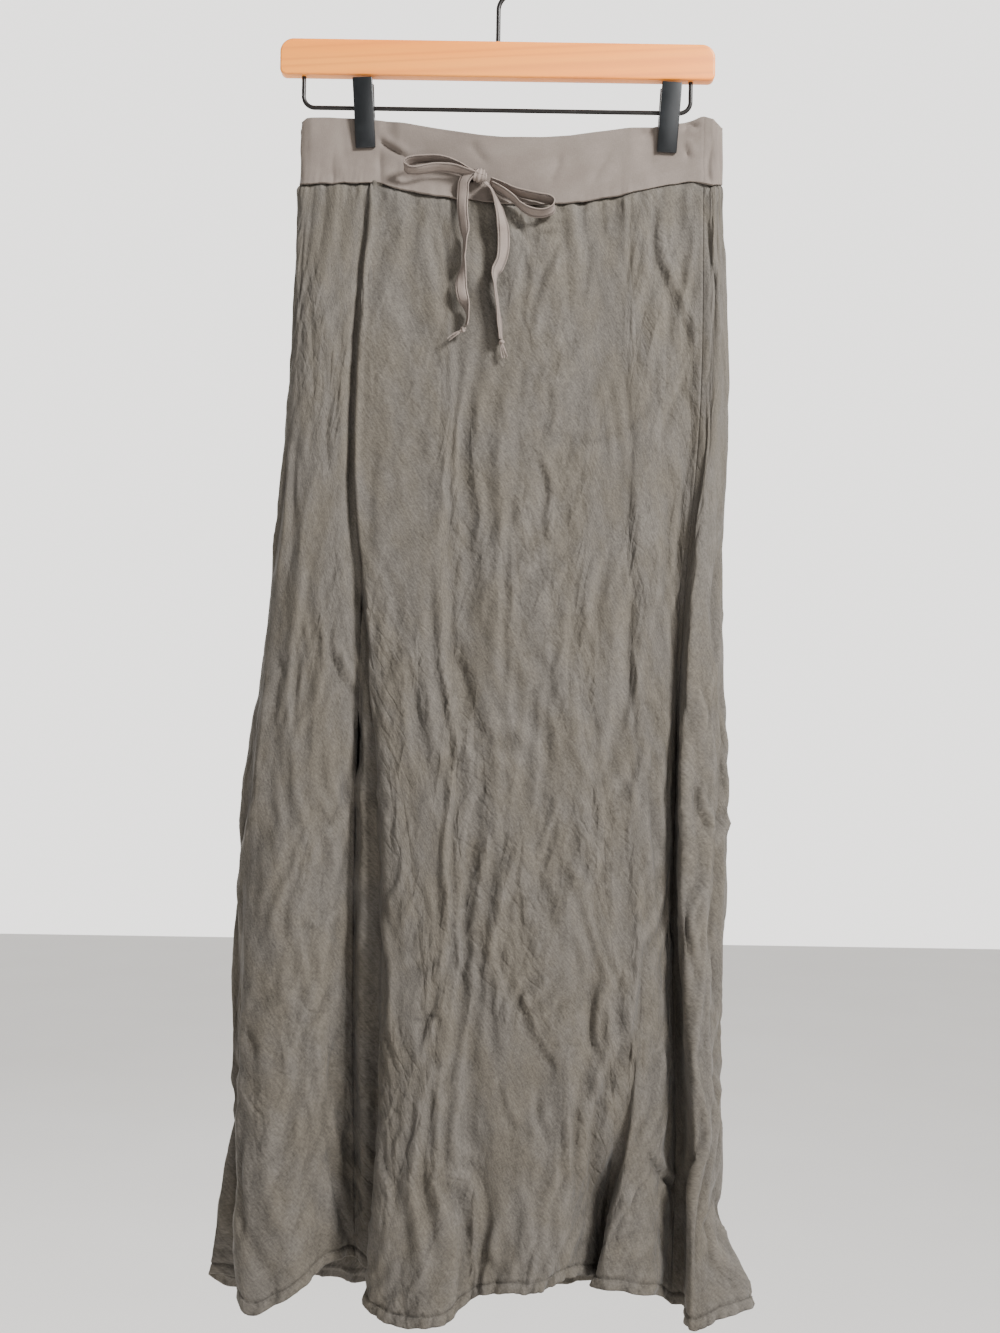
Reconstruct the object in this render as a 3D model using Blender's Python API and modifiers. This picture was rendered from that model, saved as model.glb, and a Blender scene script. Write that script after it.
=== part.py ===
"""Maxi skirt hanging from a wooden clip hanger: a gathered two-panel skirt, a plain deep waistband
with a tape drawstring tied in a bow, and the hanger's bar, hook, wire rail and two sprung clips.

Metres, +Z up. The origin is the top of the hook's inside, where it hangs on a rod. The front of the
skirt looks along -Y. Widths and depths in the tables are millimetres.
"""

import math

import bmesh
import bpy
from mathutils import Matrix, Vector

MM = 0.001

# Driving sizes of the cloth
CLOTH_WALL = 1.2 * MM
BAND_WALL = 1.6 * MM
SEAM_GAP = 0.5 * MM
BAND_HEIGHT = 51 * MM
WAIST_LINE = -196 * MM
WAIST_SLOPE = 0.013
WAIST_SAG = 17 * MM
CLIP_LEFT_X = -107 * MM
CLIP_RIGHT_X = 139 * MM
PINCH_HALF = 14 * MM
PINCH_FADE = 18 * MM
FRONT_BELLY = 5.5 * MM
BACK_BELLY = 6 * MM
GATHER_DEPTH = 1.7 * MM
GATHER_FADE = 22 * MM
COLUMN_WIDTH = 9.8 * MM

# Heights down the skirt as shares of its length, one for each column of the fold table
STATIONS = (0.0, 0.19, 0.39, 0.61, 0.85, 1.0)

# Distances below the waist seam, in mm, of the rows of points down a panel
ROW_DROPS = (0, 8, 20, 40, 72, 112, 156, 202, 248, 294, 340, 386, 432, 478, 524, 570,
             616, 662, 706, 750, 792, 832, 864, 887)
SKIRT_DROP = 887

# One row for each fold line, round the skirt from the left side seam, past the left fold and
# across the front. x is the place across, and stand is how far it stands in front of the
# hanger's plane, both at the waist seam, hip, thigh, knee, calf and hem. hem is the height of
# the hem there. All in mm.
FRONT_FOLDS = (
    # name, x, stand, hem
    ("left_seam", (-121, -125, -133, -148, -152, -164), (-5, -8, -10, -11, -12, -14), -1084),
    ("left_back", (-146, -151, -162, -181, -184, -197), (-4, -6, -7, -8, -9, -12), -1080),
    ("left_fold", (-157, -165, -178, -199, -203, -219), (0, 0, 0, 2, 3, -4), -1072),
    ("left_tuck", (-155, -163, -176, -195, -197, -195), (3, 5, 7, 11, 15, 6), -1083),
    ("left_flute_rim", (-149, -156, -167, -184, -192, -188), (5, 9, 14, 22, 32, 40), -1089),
    ("left_flute", (-132, -135, -142, -150, -150, -148), (5, 12, 24, 38, 54, 61), -1085),
    ("left_shoulder", (-116, -121, -122, -119, -117, -117), (4, 10, 20, 30, 40, 46), -1060),
    ("left_valley", (-106, -113, -108, -105, -103, -100), (2, 3, 5, 4, 2, 0), -1065),
    ("inner_rim", (-101, -108, -102, -97, -88, -86), (5, 10, 18, 23, 18, 9), -1071),
    ("inner_valley", (-95, -103, -95, -86, -80, -77), (4, 8, 13, 16, 16, 12), -1075),
    ("centre_rim", (-87, -96, -88, -75, -75, -87), (5, 12, 26, 37, 48, 52), -1082),
    ("centre_left", (-69, -74, -67, -52, -49, -61), (6, 14, 30, 44, 60, 70), -1093),
    ("centre_fold", (-45, -42, -40, -33, -28, -32), (7, 15, 31, 46, 62, 73), -1090),
    ("centre_valley", (-26, -26, -22, -16, -8, -6), (6, 13, 27, 41, 54, 52), -1075),
    ("centre", (2, 2, 4, 10, 15, 12), (8, 17, 31, 45, 58, 60), -1070),
    ("centre_right", (30, 36, 36, 38, 44, 40), (7, 16, 30, 44, 57, 62), -1069),
    ("centre_shoulder", (62, 70, 68, 72, 76, 66), (6, 15, 28, 42, 53, 48), -1062),
    ("flute_valley", (98, 104, 104, 108, 113, 96), (4, 12, 24, 36, 40, 8), -1071),
    ("flute_rim", (110, 115, 116, 120, 126, 90), (5, 13, 25, 36, 46, 42), -1068),
    ("flute", (128, 130, 128, 130, 138, 120), (4, 12, 22, 28, 34, 50), -1072),
    ("right_wall", (148, 149, 143, 138, 144, 138), (3, 8, 12, 14, 14, 30), -1080),
    ("right_valley", (158, 159, 151, 143, 148, 146), (3, 7, 7, 5, 4, 14), -1090),
)
SIDE_SEAM = ("side_seam", (167, 168, 158, 149, 154, 154), (5, 10, 12, 4, 3, 6), -1096)
SIDE_FOLDS = (
    ("seam_tuck", (171, 172, 163, 155, 160, 163), (5, 12, 20, 12, 9, 8), -1096),
    ("right_rim", (174, 178, 170, 165, 170, 166), (5, 12, 24, 32, 40, 46), -1098),
    ("right_flute", (178, 184, 178, 180, 183, 188), (4, 8, 16, 24, 32, 42), -1092),
    ("right_fold", (182, 190, 187, 195, 194, 226), (0, 0, 2, 4, 6, 8), -1093),
    ("right_back", (175, 180, 176, 182, 182, 202), (-4, -6, -8, -10, -11, -12), -1088),
)
# The hidden back hangs flat, in shallow flutes that grow towards the hem
BACK_FLUTES = 9
BACK_STAND = (-5, -9, -11, -13, -14, -14)
BACK_WAVE = (0.6, 1.5, 2.5, 3.5, 4.5, 6.0)
BACK_HEM = -1085

# Driving sizes of the hanger
HOOK_WIRE_R = 1.8 * MM
HOOK_R = 23 * MM
HOOK_BEND_R = 14 * MM
HOOK_STEM = 26.5 * MM
HOOK_STEM_IN_BAR = 18 * MM
HOOK_TIP_ANGLE = 205
BAR_LENGTH = 350 * MM
BAR_HEIGHT = 29 * MM
BAR_DEPTH = 13 * MM
BAR_TOP_CORNER = 11 * MM
BAR_FOOT_CORNER = 5 * MM
BAR_EDGE = 1.2 * MM
RAIL_WIRE_R = 1.6 * MM
RAIL_HALF = 156 * MM
RAIL_DROP = 25 * MM
RAIL_BEND_R = 9 * MM
RAIL_IN_BAR = 12 * MM
SEAT_GAP = 0.3 * MM

# Driving sizes of a clip, from the rail's axis
CLIP_WIDTH = 16 * MM
CLIP_ABOVE = 22.5 * MM
CLIP_BELOW = 33 * MM
JAW_WALL = 2.6 * MM
JAW_EDGE = 0.7 * MM
JAW_TOP_OPEN = 8.2 * MM
EAR_WALL = 1.2 * MM
EAR_REACH = 3.4 * MM
EAR_HEIGHT = 7.2 * MM
CLIP_LEAN = 3.3
SPRING_COIL_R = 2.7 * MM
SPRING_WIRE_R = 0.5 * MM
SPRING_TURNS = 3

# Driving sizes of the drawstring, a stitched cloth tape
TAPE_WIDTH = 10 * MM
TAPE_WALL = 1.2 * MM
KNOT_AT = Vector((-12, -13.1, -190.5)) * MM
KNOT_SIZE = Vector((12, 8, 13)) * MM
KNOT_EDGE = 2.4 * MM
BUTTONHOLE_APART = 15 * MM
BUTTONHOLE_SIZE = Vector((2.6, 12, 11)) * MM

# Tape routes: x, stand and z of the middle of the tape in mm, and how far it is turned from
# lying flat to the viewer, in degrees
TAIL_LEFT = (
    # x, stand, z, turn
    (-16.3, 12, -198.5, -5), (-21, 13.6, -202.5, -8), (-26, 14.6, -207.5, 0), (-29, 14, -214, 4), (-28.5, 14, -227, 10),
    (-26.5, 14, -239, 50), (-25, 15, -250, 78), (-26.5, 16, -261, 40), (-27.5, 16, -274, 5), (-26, 17, -285, 25),
    (-23.5, 18, -294, 66), (-23.5, 18, -303, 80), (-25.5, 18, -309, 84),
)
TAIL_RIGHT = (
    (-8.8, 15.2, -198.2, 0), (-5.6, 16, -204, 8), (-1.5, 16.8, -210.5, 20), (2.5, 17, -218, 15), (5.5, 17, -230, 0),
    (7.5, 17, -243, -6), (6.5, 18, -254, -22), (2.5, 18, -262, -45), (-0.5, 18, -269, -68), (-1, 18, -280, -74),
    (0.5, 19, -294, -76), (2.5, 20, -309, -80), (4.2, 20, -321, -84),
)
# Loop routes: x, stand and z of the middle of the tape in mm
LOOP_LEFT = (
    (-19, 11.8, -186.9), (-29, 11.6, -182), (-42, 12, -176), (-56, 12, -173.5), (-66, 12.5, -174), (-72, 15, -175.5),
    (-73.5, 19, -177.5), (-69, 22.5, -179.5), (-58, 23.5, -180.5), (-44, 22.5, -181), (-30, 19, -184), (-18.9, 15.4, -187.2),
)
LOOP_RIGHT = (
    (-3.5, 12, -189.3), (7, 12.4, -193), (19, 13, -197), (32, 13, -200.5), (41, 14, -204), (46, 17, -208),
    (45.5, 21, -212), (40, 24, -214.5), (30, 25, -212), (18, 23.5, -205), (6, 19, -195.8), (-3.3, 15.4, -190.5),
)
LOOP_LEFT_WIDTH = Vector((0.05, 0.35, 0.93))
LOOP_RIGHT_WIDTH = Vector((-0.35, 0.25, 0.90))
TIP_LEFT = ((-25.6, 18, -309.5), (-30, 18.5, -315), (-34, 18, -319.5))
TIP_RIGHT = ((4.3, 20, -321.5), (5.2, 20.5, -328), (7.6, 20, -337))
TIP_SIZE = 3.0 * MM


def clear_scene():
    for found in list(bpy.data.objects):
        bpy.data.objects.remove(found)


def new_collection(name):
    made = bpy.data.collections.new(name)
    bpy.context.scene.collection.children.link(made)
    return made


def new_material(name, colour, roughness, metallic=0.0):
    made = bpy.data.materials.new(name)
    made.use_nodes = True
    shader = made.node_tree.nodes["Principled BSDF"]
    shader.inputs["Base Color"].default_value = (*colour, 1)
    shader.inputs["Roughness"].default_value = roughness
    shader.inputs["Metallic"].default_value = metallic
    return made


def new_object(name, data, material, collection):
    made = bpy.data.objects.new(name, data)
    collection.objects.link(made)
    if material:
        data.materials.append(material)
    return made


def mesh_object(name, bm, material, collection):
    """The bmesh as an object, with its normals facing out."""
    bmesh.ops.recalc_face_normals(bm, faces=bm.faces)
    mesh = bpy.data.meshes.new(name)
    bm.to_mesh(mesh)
    bm.free()
    return new_object(name, mesh, material, collection)


def smooth(obj, angle=40):
    obj.data.shade_smooth()
    obj.data.set_sharp_from_angle(angle=math.radians(angle))


# Curves through the tables

def through(points, knots, at):
    """A smooth curve through four points with those knots, read between the middle two."""
    level = list(points)
    for spans in (((0, 1), (1, 2), (2, 3)), ((0, 2), (1, 3)), ((1, 2),)):
        level = [
            level[i] + (level[i + 1] - level[i]) * ((at - knots[a]) / (knots[b] - knots[a]))
            for i, (a, b) in enumerate(spans)
        ]
    return level[0]


def down_stations(values, share):
    """A column of the fold table read smoothly at a share of the skirt's length."""
    last = len(STATIONS) - 2
    span = next((i for i in range(last) if share < STATIONS[i + 1]), last)
    knots = [
        2 * STATIONS[0] - STATIONS[1],
        *STATIONS,
        2 * STATIONS[-1] - STATIONS[-2],
    ]
    padded = [2 * values[0] - values[1], *values, 2 * values[-1] - values[-2]]
    return through(padded[span:span + 4], knots[span:span + 4], share)


def back_folds():
    """The shallow flutes of the hidden back, from the right to the left, as rows of the fold table."""
    right, left = SIDE_FOLDS[-1][1], FRONT_FOLDS[0][1]
    rows = []
    for i in range(1, BACK_FLUTES + 1):
        share = i / (BACK_FLUTES + 1)
        wave = math.cos(math.pi * i)
        x = tuple(r + (l - r) * share for r, l in zip(right, left))
        stand = tuple(s + wave * w for s, w in zip(BACK_STAND, BACK_WAVE))
        rows.append((f"back_flute_{i}", x, stand, BACK_HEM))
    return rows


FOLDS = (*FRONT_FOLDS, SIDE_SEAM, *SIDE_FOLDS, *back_folds())
RIGHT_SEAM_PLACE = len(FRONT_FOLDS)
ROUND = len(FOLDS)


def waist_z(x):
    """The height of the waist seam at a place across: level outside the clips and sagging between them."""
    middle, half = (CLIP_LEFT_X + CLIP_RIGHT_X) / 2, (CLIP_RIGHT_X - CLIP_LEFT_X) / 2
    reach = min(1, abs(x - middle) / half)
    return WAIST_LINE + WAIST_SLOPE * x - WAIST_SAG * math.cos(math.pi / 2 * reach) ** 2


def fold_point(number, share):
    name, x, stand, hem = FOLDS[number % ROUND]
    x_here, stand_here = down_stations(x, share), down_stations(stand, share)
    top = waist_z(x[0] * MM)
    return Vector((x_here * MM, -stand_here * MM, top + (hem * MM - top) * share))


def round_skirt(place, share):
    """The cloth's middle surface. place counts fold lines round the skirt, and share runs down it."""
    number = math.floor(place)
    points = [fold_point(number + i, share) for i in (-1, 0, 1, 2)]
    knots = [0.0]
    for a, b in zip(points, points[1:]):
        knots.append(knots[-1] + math.sqrt(max((b - a).to_2d().length, 1e-5)))
    return through(points, knots, knots[1] + (knots[2] - knots[1]) * (place - number))


def towards(place, share, side):
    """The direction along the cloth from a seam, level, on that side of it."""
    step = round_skirt(place + side * 0.05, share) - round_skirt(place, share)
    step.z = 0
    return step.normalized()


def places_across(first, last):
    """The places of a panel's columns of points: more where fold lines lie far apart."""
    places = []
    for number in range(first, last):
        lengths = [(round_skirt(number + 1, s) - round_skirt(number, s)).length for s in (0.0, 0.6, 1.0)]
        parts = max(1, round(sum(lengths) / len(lengths) / COLUMN_WIDTH))
        places += [number + i / parts for i in range(parts)]
    return [*places, last]


def sheet(name, columns, rows, point_at, wall, material, collection):
    """A grid of points placed by point_at(column, row), made a wall of cloth."""
    bm = bmesh.new()
    bmesh.ops.create_grid(bm, x_segments=columns, y_segments=rows, size=1)
    for vertex in bm.verts:
        column = round((vertex.co.x + 1) / 2 * columns)
        row = round((vertex.co.y + 1) / 2 * rows)
        vertex.co = point_at(column, row)
    mesh = bpy.data.meshes.new(name)
    bm.to_mesh(mesh)
    bm.free()
    made = new_object(name, mesh, material, collection)
    made.data.shade_smooth()
    thick = made.modifiers.new("cloth wall", "SOLIDIFY")
    thick.thickness = wall
    thick.offset = 0
    thick.use_even_offset = False
    return made


def skirt_panel(name, first, last, material, collection):
    """A panel between two seams, gathered along its top edge."""
    places = places_across(first, last)
    columns, rows = len(places) - 1, len(ROW_DROPS) - 1

    def point_at(column, row):
        drop = ROW_DROPS[rows - row]
        share = drop / SKIRT_DROP
        point = round_skirt(places[column], share)
        if column in (0, columns):
            side = 1 if column == 0 else -1
            point += towards(places[column], share, side) * SEAM_GAP * 0.7
        else:
            puff = GATHER_DEPTH * math.exp(-drop * MM / GATHER_FADE)
            along = towards(places[column], share, 1)
            point += along.cross(Vector((0, 0, 1))) * puff * (-1) ** column
        if drop == 0:
            point.z -= SEAM_GAP / 2
        return point

    return sheet(name, columns, rows, point_at, CLOTH_WALL, material, collection)


def band_stand(x, front, rise):
    """How far a waistband wall stands off the hanger's plane. The clips pinch both walls together."""
    middle, half = (CLIP_LEFT_X + CLIP_RIGHT_X) / 2, (CLIP_RIGHT_X - CLIP_LEFT_X) / 2
    reach = min(1, abs(x - middle) / half)
    belly = (FRONT_BELLY if front else BACK_BELLY) * math.cos(math.pi / 2 * reach) ** 2
    loose = 3.0 * MM + belly
    pinched = (BAND_WALL + SEAM_GAP) / 2
    away = min(abs(x - c) for c in (CLIP_LEFT_X, CLIP_RIGHT_X))
    near = 1 - min(1, max(0, away - PINCH_HALF) / PINCH_FADE)
    grip = near * min(1, rise / 0.42)
    return loose + (pinched - loose) * grip


def waistband(name, first, last, material, collection):
    """A waistband wall between the side seams, from the waist seam up to its top edge."""
    places = places_across(first, last)
    columns, rows = len(places) - 1, 6
    folds = [x[0] * MM for name, x, stand, hem in FOLDS if name in ("left_fold", "right_fold")]

    def point_at(column, row):
        rise = row / rows
        point = round_skirt(places[column], 0)
        if column in (0, columns):
            side = 1 if column == 0 else -1
            point += towards(places[column], 0, side) * SEAM_GAP * 0.7
        front = point.y < 0
        room = min(point.x - folds[0], folds[1] - point.x)
        edge = math.sqrt(min(1, max(0, room) / (8 * MM)))
        upper = band_stand(point.x, front, rise) * edge * (-1 if front else 1)
        blend = min(1, rise / 0.42)
        point.y += (upper - point.y) * blend
        point.z += SEAM_GAP / 2 + (BAND_HEIGHT - SEAM_GAP / 2) * rise
        return point

    return sheet(name, columns, rows, point_at, BAND_WALL, material, collection)


def cut(obj, cutters):
    for number, cutter in enumerate(cutters):
        hole = obj.modifiers.new(f"hole {number}", "BOOLEAN")
        hole.operation = "DIFFERENCE"
        hole.solver = "EXACT"
        hole.object = cutter


def join(obj, others):
    for number, other in enumerate(others):
        union = obj.modifiers.new(f"join {number}", "BOOLEAN")
        union.operation = "UNION"
        union.solver = "EXACT"
        union.object = other


def helper(name, bm, collection):
    made = mesh_object(name, bm, None, collection)
    made.hide_render = True
    made.display_type = "WIRE"
    return made


def box_bmesh(size, centre, turn=None):
    bm = bmesh.new()
    bmesh.ops.create_cube(bm, size=1)
    bmesh.ops.scale(bm, vec=size, verts=bm.verts)
    bmesh.ops.translate(bm, vec=centre, verts=bm.verts)
    if turn:
        bmesh.ops.transform(bm, matrix=turn, verts=bm.verts)
    return bm


def rod_bmesh(radius, length, centre, axis="Z", sides=12):
    bm = bmesh.new()
    bmesh.ops.create_cone(bm, cap_ends=True, segments=sides, radius1=radius, radius2=radius, depth=length)
    if axis == "X":
        bmesh.ops.rotate(bm, matrix=Matrix.Rotation(math.pi / 2, 3, "Y"), verts=bm.verts)
    bmesh.ops.translate(bm, vec=centre, verts=bm.verts)
    return bm


def wire(name, points, radius, material, collection, resolution=2):
    """A round wire along a list of points, as a filled curve."""
    curve = bpy.data.curves.new(name, "CURVE")
    curve.dimensions = "3D"
    curve.bevel_depth = radius
    curve.bevel_resolution = resolution
    curve.use_fill_caps = True
    spline = curve.splines.new("POLY")
    spline.points.add(len(points) - 1)
    for point, place in zip(spline.points, points):
        point.co = (*place, 1)
    return new_object(name, curve, material, collection)


def arc(centre, radius, start, end, steps):
    """Points on an arc in the XZ plane. Angles are in degrees from +X."""
    angles = [math.radians(start + (end - start) * i / steps) for i in range(steps + 1)]
    return [Vector((centre[0] + radius * math.cos(a), 0, centre[1] + radius * math.sin(a))) for a in angles]


# Hanger

HOOK_CENTRE_Z = -(HOOK_R - HOOK_WIRE_R)
HOOK_TURN = math.acos(HOOK_BEND_R / (HOOK_R + HOOK_BEND_R))
BEND_Z = HOOK_CENTRE_Z - (HOOK_R + HOOK_BEND_R) * math.sin(HOOK_TURN)
BAR_TOP = BEND_Z - HOOK_STEM
BAR_FOOT = BAR_TOP - BAR_HEIGHT
RAIL_Z = BAR_FOOT - RAIL_DROP


def hanger_hook(material, collection):
    """A question-mark hook: a stem in the bar, a bend to the right and a round hook open to the left."""
    turn = math.degrees(HOOK_TURN)
    foot = Vector((0, 0, BAR_TOP - HOOK_STEM_IN_BAR + 2 * SEAT_GAP))
    bend = arc((HOOK_BEND_R, BEND_Z), HOOK_BEND_R, 180, 180 - turn, 6)
    round_part = arc((0, HOOK_CENTRE_Z), HOOK_R, -turn, HOOK_TIP_ANGLE, 28)
    return wire("hanger_hook", [foot, *bend, *round_part[1:]], HOOK_WIRE_R, material, collection, 3)


def rail_arms():
    return (-RAIL_HALF, RAIL_HALF)


def hanger_rail(material, collection):
    """The wire that carries the clips: down out of the bar, along, and up into it again."""
    top = BAR_FOOT + RAIL_IN_BAR - 2 * SEAT_GAP
    inner, low = RAIL_HALF - RAIL_BEND_R, RAIL_Z + RAIL_BEND_R
    left = arc((-inner, low), RAIL_BEND_R, 180, 270, 6)
    right = arc((inner, low), RAIL_BEND_R, 270, 360, 6)
    ends = [Vector((x, 0, top)) for x in rail_arms()]
    return wire("hanger_rail", [ends[0], *left, *right, ends[1]], RAIL_WIRE_R, material, collection)


def hanger_bar(material, collection, cutters):
    """The wooden bar: an outline with larger corners above, extruded, with its edges eased and its holes drilled."""
    half, low, high = BAR_LENGTH / 2, BAR_FOOT, BAR_TOP
    corners = (
        ((half - BAR_FOOT_CORNER, low + BAR_FOOT_CORNER), BAR_FOOT_CORNER, -90, 0, 4),
        ((half - BAR_TOP_CORNER, high - BAR_TOP_CORNER), BAR_TOP_CORNER, 0, 90, 6),
        ((-half + BAR_TOP_CORNER, high - BAR_TOP_CORNER), BAR_TOP_CORNER, 90, 180, 6),
        ((-half + BAR_FOOT_CORNER, low + BAR_FOOT_CORNER), BAR_FOOT_CORNER, 180, 270, 4),
    )
    outline = [point for centre, r, a, b, steps in corners for point in arc(centre, r, a, b, steps)]
    bm = bmesh.new()
    face = bm.faces.new([bm.verts.new(p + Vector((0, -BAR_DEPTH / 2, 0))) for p in outline])
    pulled = bmesh.ops.extrude_face_region(bm, geom=[face])
    moved = [v for v in pulled["geom"] if isinstance(v, bmesh.types.BMVert)]
    bmesh.ops.translate(bm, vec=(0, BAR_DEPTH, 0), verts=moved)
    rims = [e for e in bm.edges if abs(e.verts[0].co.y - e.verts[1].co.y) < 1e-7]
    bmesh.ops.bevel(bm, geom=rims, offset=BAR_EDGE, segments=2, profile=0.5, affect="EDGES", material=-1)
    bar = mesh_object("hanger_bar", bm, material, collection)
    stem = rod_bmesh(HOOK_WIRE_R + SEAT_GAP, 2 * HOOK_STEM_IN_BAR, Vector((0, 0, BAR_TOP)), sides=16)
    holes = [helper("stem hole", stem, cutters)]
    for x in rail_arms():
        hole = rod_bmesh(RAIL_WIRE_R + SEAT_GAP, 2 * RAIL_IN_BAR, Vector((x, 0, BAR_FOOT)), sides=16)
        holes.append(helper("rail hole", hole, cutters))
    cut(bar, holes)
    smooth(bar, 30)
    return bar


def clip_frame(x):
    """Places a clip on the rail. It leans so that its foot points towards the middle of the skirt."""
    lean = math.radians(CLIP_LEAN) * (-1 if x < 0 else 1)
    return Matrix.Translation((x, 0, RAIL_Z)) @ Matrix.Rotation(lean, 4, "Y")


def jaw(name, side, width, ear_x, place, material, collection, cutters):
    """A clip jaw: a plate that leans in to its foot, and two ears that turn on the rail. side is -1 in front."""
    grip = BAND_WALL + SEAM_GAP / 2 + SEAT_GAP
    length = CLIP_ABOVE + CLIP_BELOW
    slope = math.atan((JAW_TOP_OPEN - grip) / length)
    middle_z = (CLIP_ABOVE - CLIP_BELOW) / 2
    middle_y = (JAW_TOP_OPEN + grip) / 2 + JAW_WALL / 2
    tilt = Matrix.Translation((0, side * middle_y, middle_z)) @ Matrix.Rotation(-side * slope, 4, "X")
    plate = box_bmesh(Vector((width, JAW_WALL, length)), Vector(), tilt)
    bmesh.ops.bevel(plate, geom=plate.edges[:], offset=JAW_EDGE, segments=2, profile=0.5, affect="EDGES", material=-1)
    made = mesh_object(name, plate, material, collection)
    ears = []
    inner = middle_y + JAW_WALL * 0.1
    for x in (-ear_x, ear_x):
        depth = inner + EAR_REACH
        centre = Vector((x, side * (inner - EAR_REACH) / 2, 0))
        ear = box_bmesh(Vector((EAR_WALL, depth, EAR_HEIGHT)), centre)
        ears.append(helper(f"{name} ear", ear, cutters))
    join(made, ears)
    bore = rod_bmesh(RAIL_WIRE_R + 0.7 * MM, 2 * CLIP_WIDTH, Vector(), "X")
    drilled = helper(f"{name} bore", bore, cutters)
    cut(made, [drilled])
    for piece in (made, *ears, drilled):
        piece.matrix_world = place
    smooth(made, 30)
    return made


def clip_spring(name, place, material, collection):
    """The wire spring: turns round the rail, with a leg up each handle."""
    steps = 9
    count = SPRING_TURNS * steps
    pitch = 2.4 * SPRING_WIRE_R
    points = [Vector((-SPRING_TURNS * pitch / 2, -4.9 * MM, 11 * MM))]
    for i in range(count + 1):
        angle = math.radians(180) + 2 * math.pi * i / steps
        x = (i / steps - SPRING_TURNS / 2) * pitch
        points.append(Vector((x, SPRING_COIL_R * math.cos(angle), SPRING_COIL_R * math.sin(angle))))
    extra = [math.radians(180) + 2 * math.pi * j / steps for j in range(1, steps // 2 + 1)]
    for j, angle in enumerate(extra, 1):
        x = (SPRING_TURNS / 2 + j / steps) * pitch
        points.append(Vector((x, SPRING_COIL_R * math.cos(angle), SPRING_COIL_R * math.sin(angle))))
    points.append(Vector(((SPRING_TURNS / 2 + 0.5) * pitch, 4.9 * MM, 11 * MM)))
    made = wire(name, [place @ p for p in points], SPRING_WIRE_R, material, collection, 1)
    return made


def clip(side_name, x, materials, collection, cutters):
    place = clip_frame(x)
    outer = CLIP_WIDTH / 2 - EAR_WALL / 2 - 0.3 * MM
    inner = outer - EAR_WALL - 2 * SEAT_GAP
    jaw(f"clip_{side_name}_front_jaw", -1, CLIP_WIDTH, outer, place, materials["clip"], collection, cutters)
    jaw(f"clip_{side_name}_back_jaw", 1, CLIP_WIDTH, inner, place, materials["clip"], collection, cutters)
    clip_spring(f"clip_{side_name}_spring", place, materials["wire"], collection)


# Drawstring

def smooth_route(points, steps):
    """The route's own points, with steps more read from a smooth curve between each two."""
    ends = [2 * points[0] - points[1], *points, 2 * points[-1] - points[-2]]
    made = []
    for i in range(len(points) - 1):
        four = ends[i:i + 4]
        knots = [0.0]
        for a, b in zip(four, four[1:]):
            knots.append(knots[-1] + math.sqrt((b - a).length))
        made += [through(four, knots, knots[1] + (knots[2] - knots[1]) * j / steps) for j in range(steps)]
    return [*made, points[-1]]


def ribbon(name, middle, across, material, collection):
    """A tape of two strips side by side along a line of points, with its own width direction at each."""
    def point_at(column, row):
        return middle[row] + across[row] * TAPE_WIDTH * (column - 1) / 2

    return sheet(name, 2, len(middle) - 1, point_at, TAPE_WALL, material, collection)


def tangents(points):
    last = len(points) - 1
    return [(points[min(i + 1, last)] - points[max(i - 1, 0)]).normalized() for i in range(last + 1)]


def tail(name, rows, material, collection, steps=2):
    """A hanging end of the tape, which turns about its own line."""
    line = smooth_route([Vector((x, -stand, z)) * MM for x, stand, z, turn in rows], steps)
    turns = smooth_route([Vector((turn, 0, 5 * i)) for i, (x, stand, z, turn) in enumerate(rows)], steps)
    across = []
    for direction, turn in zip(tangents(line), turns):
        flat = direction.cross(Vector((0, -1, 0))).normalized()
        across.append(Matrix.Rotation(math.radians(turn.x), 3, direction) @ flat)
    return ribbon(name, line, across, material, collection)


def loop(name, rows, width, material, collection, steps=2):
    """A bow loop of the tape, whose width leans the same way all along."""
    line = smooth_route([Vector((x, -stand, z)) * MM for x, stand, z in rows], steps)
    across = [(width - direction * width.dot(direction)).normalized() for direction in tangents(line)]
    return ribbon(name, line, across, material, collection)


def knot(name, centre, size, material, collection):
    bm = box_bmesh(size, centre)
    bmesh.ops.bevel(bm, geom=bm.edges[:], offset=KNOT_EDGE, segments=3, profile=0.5, affect="EDGES", material=-1)
    made = mesh_object(name, bm, material, collection)
    made.data.shade_smooth()
    return made


def tape_tip(name, rows, material, collection):
    """The knotted end of a tail: a small knot, and the frayed stub below it."""
    points = [Vector((x, -stand, z)) * MM for x, stand, z in rows]
    return wire(name, smooth_route(points, 3), TIP_SIZE / 2, material, collection)


def buttonholes(band, cutters):
    holes = []
    for side in (-1, 1):
        centre = Vector((KNOT_AT.x + side * BUTTONHOLE_APART / 2, KNOT_AT.y + 8 * MM, KNOT_AT.z + 5 * MM))
        holes.append(helper("buttonhole", box_bmesh(BUTTONHOLE_SIZE, centre), cutters))
    cut(band, holes)


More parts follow.
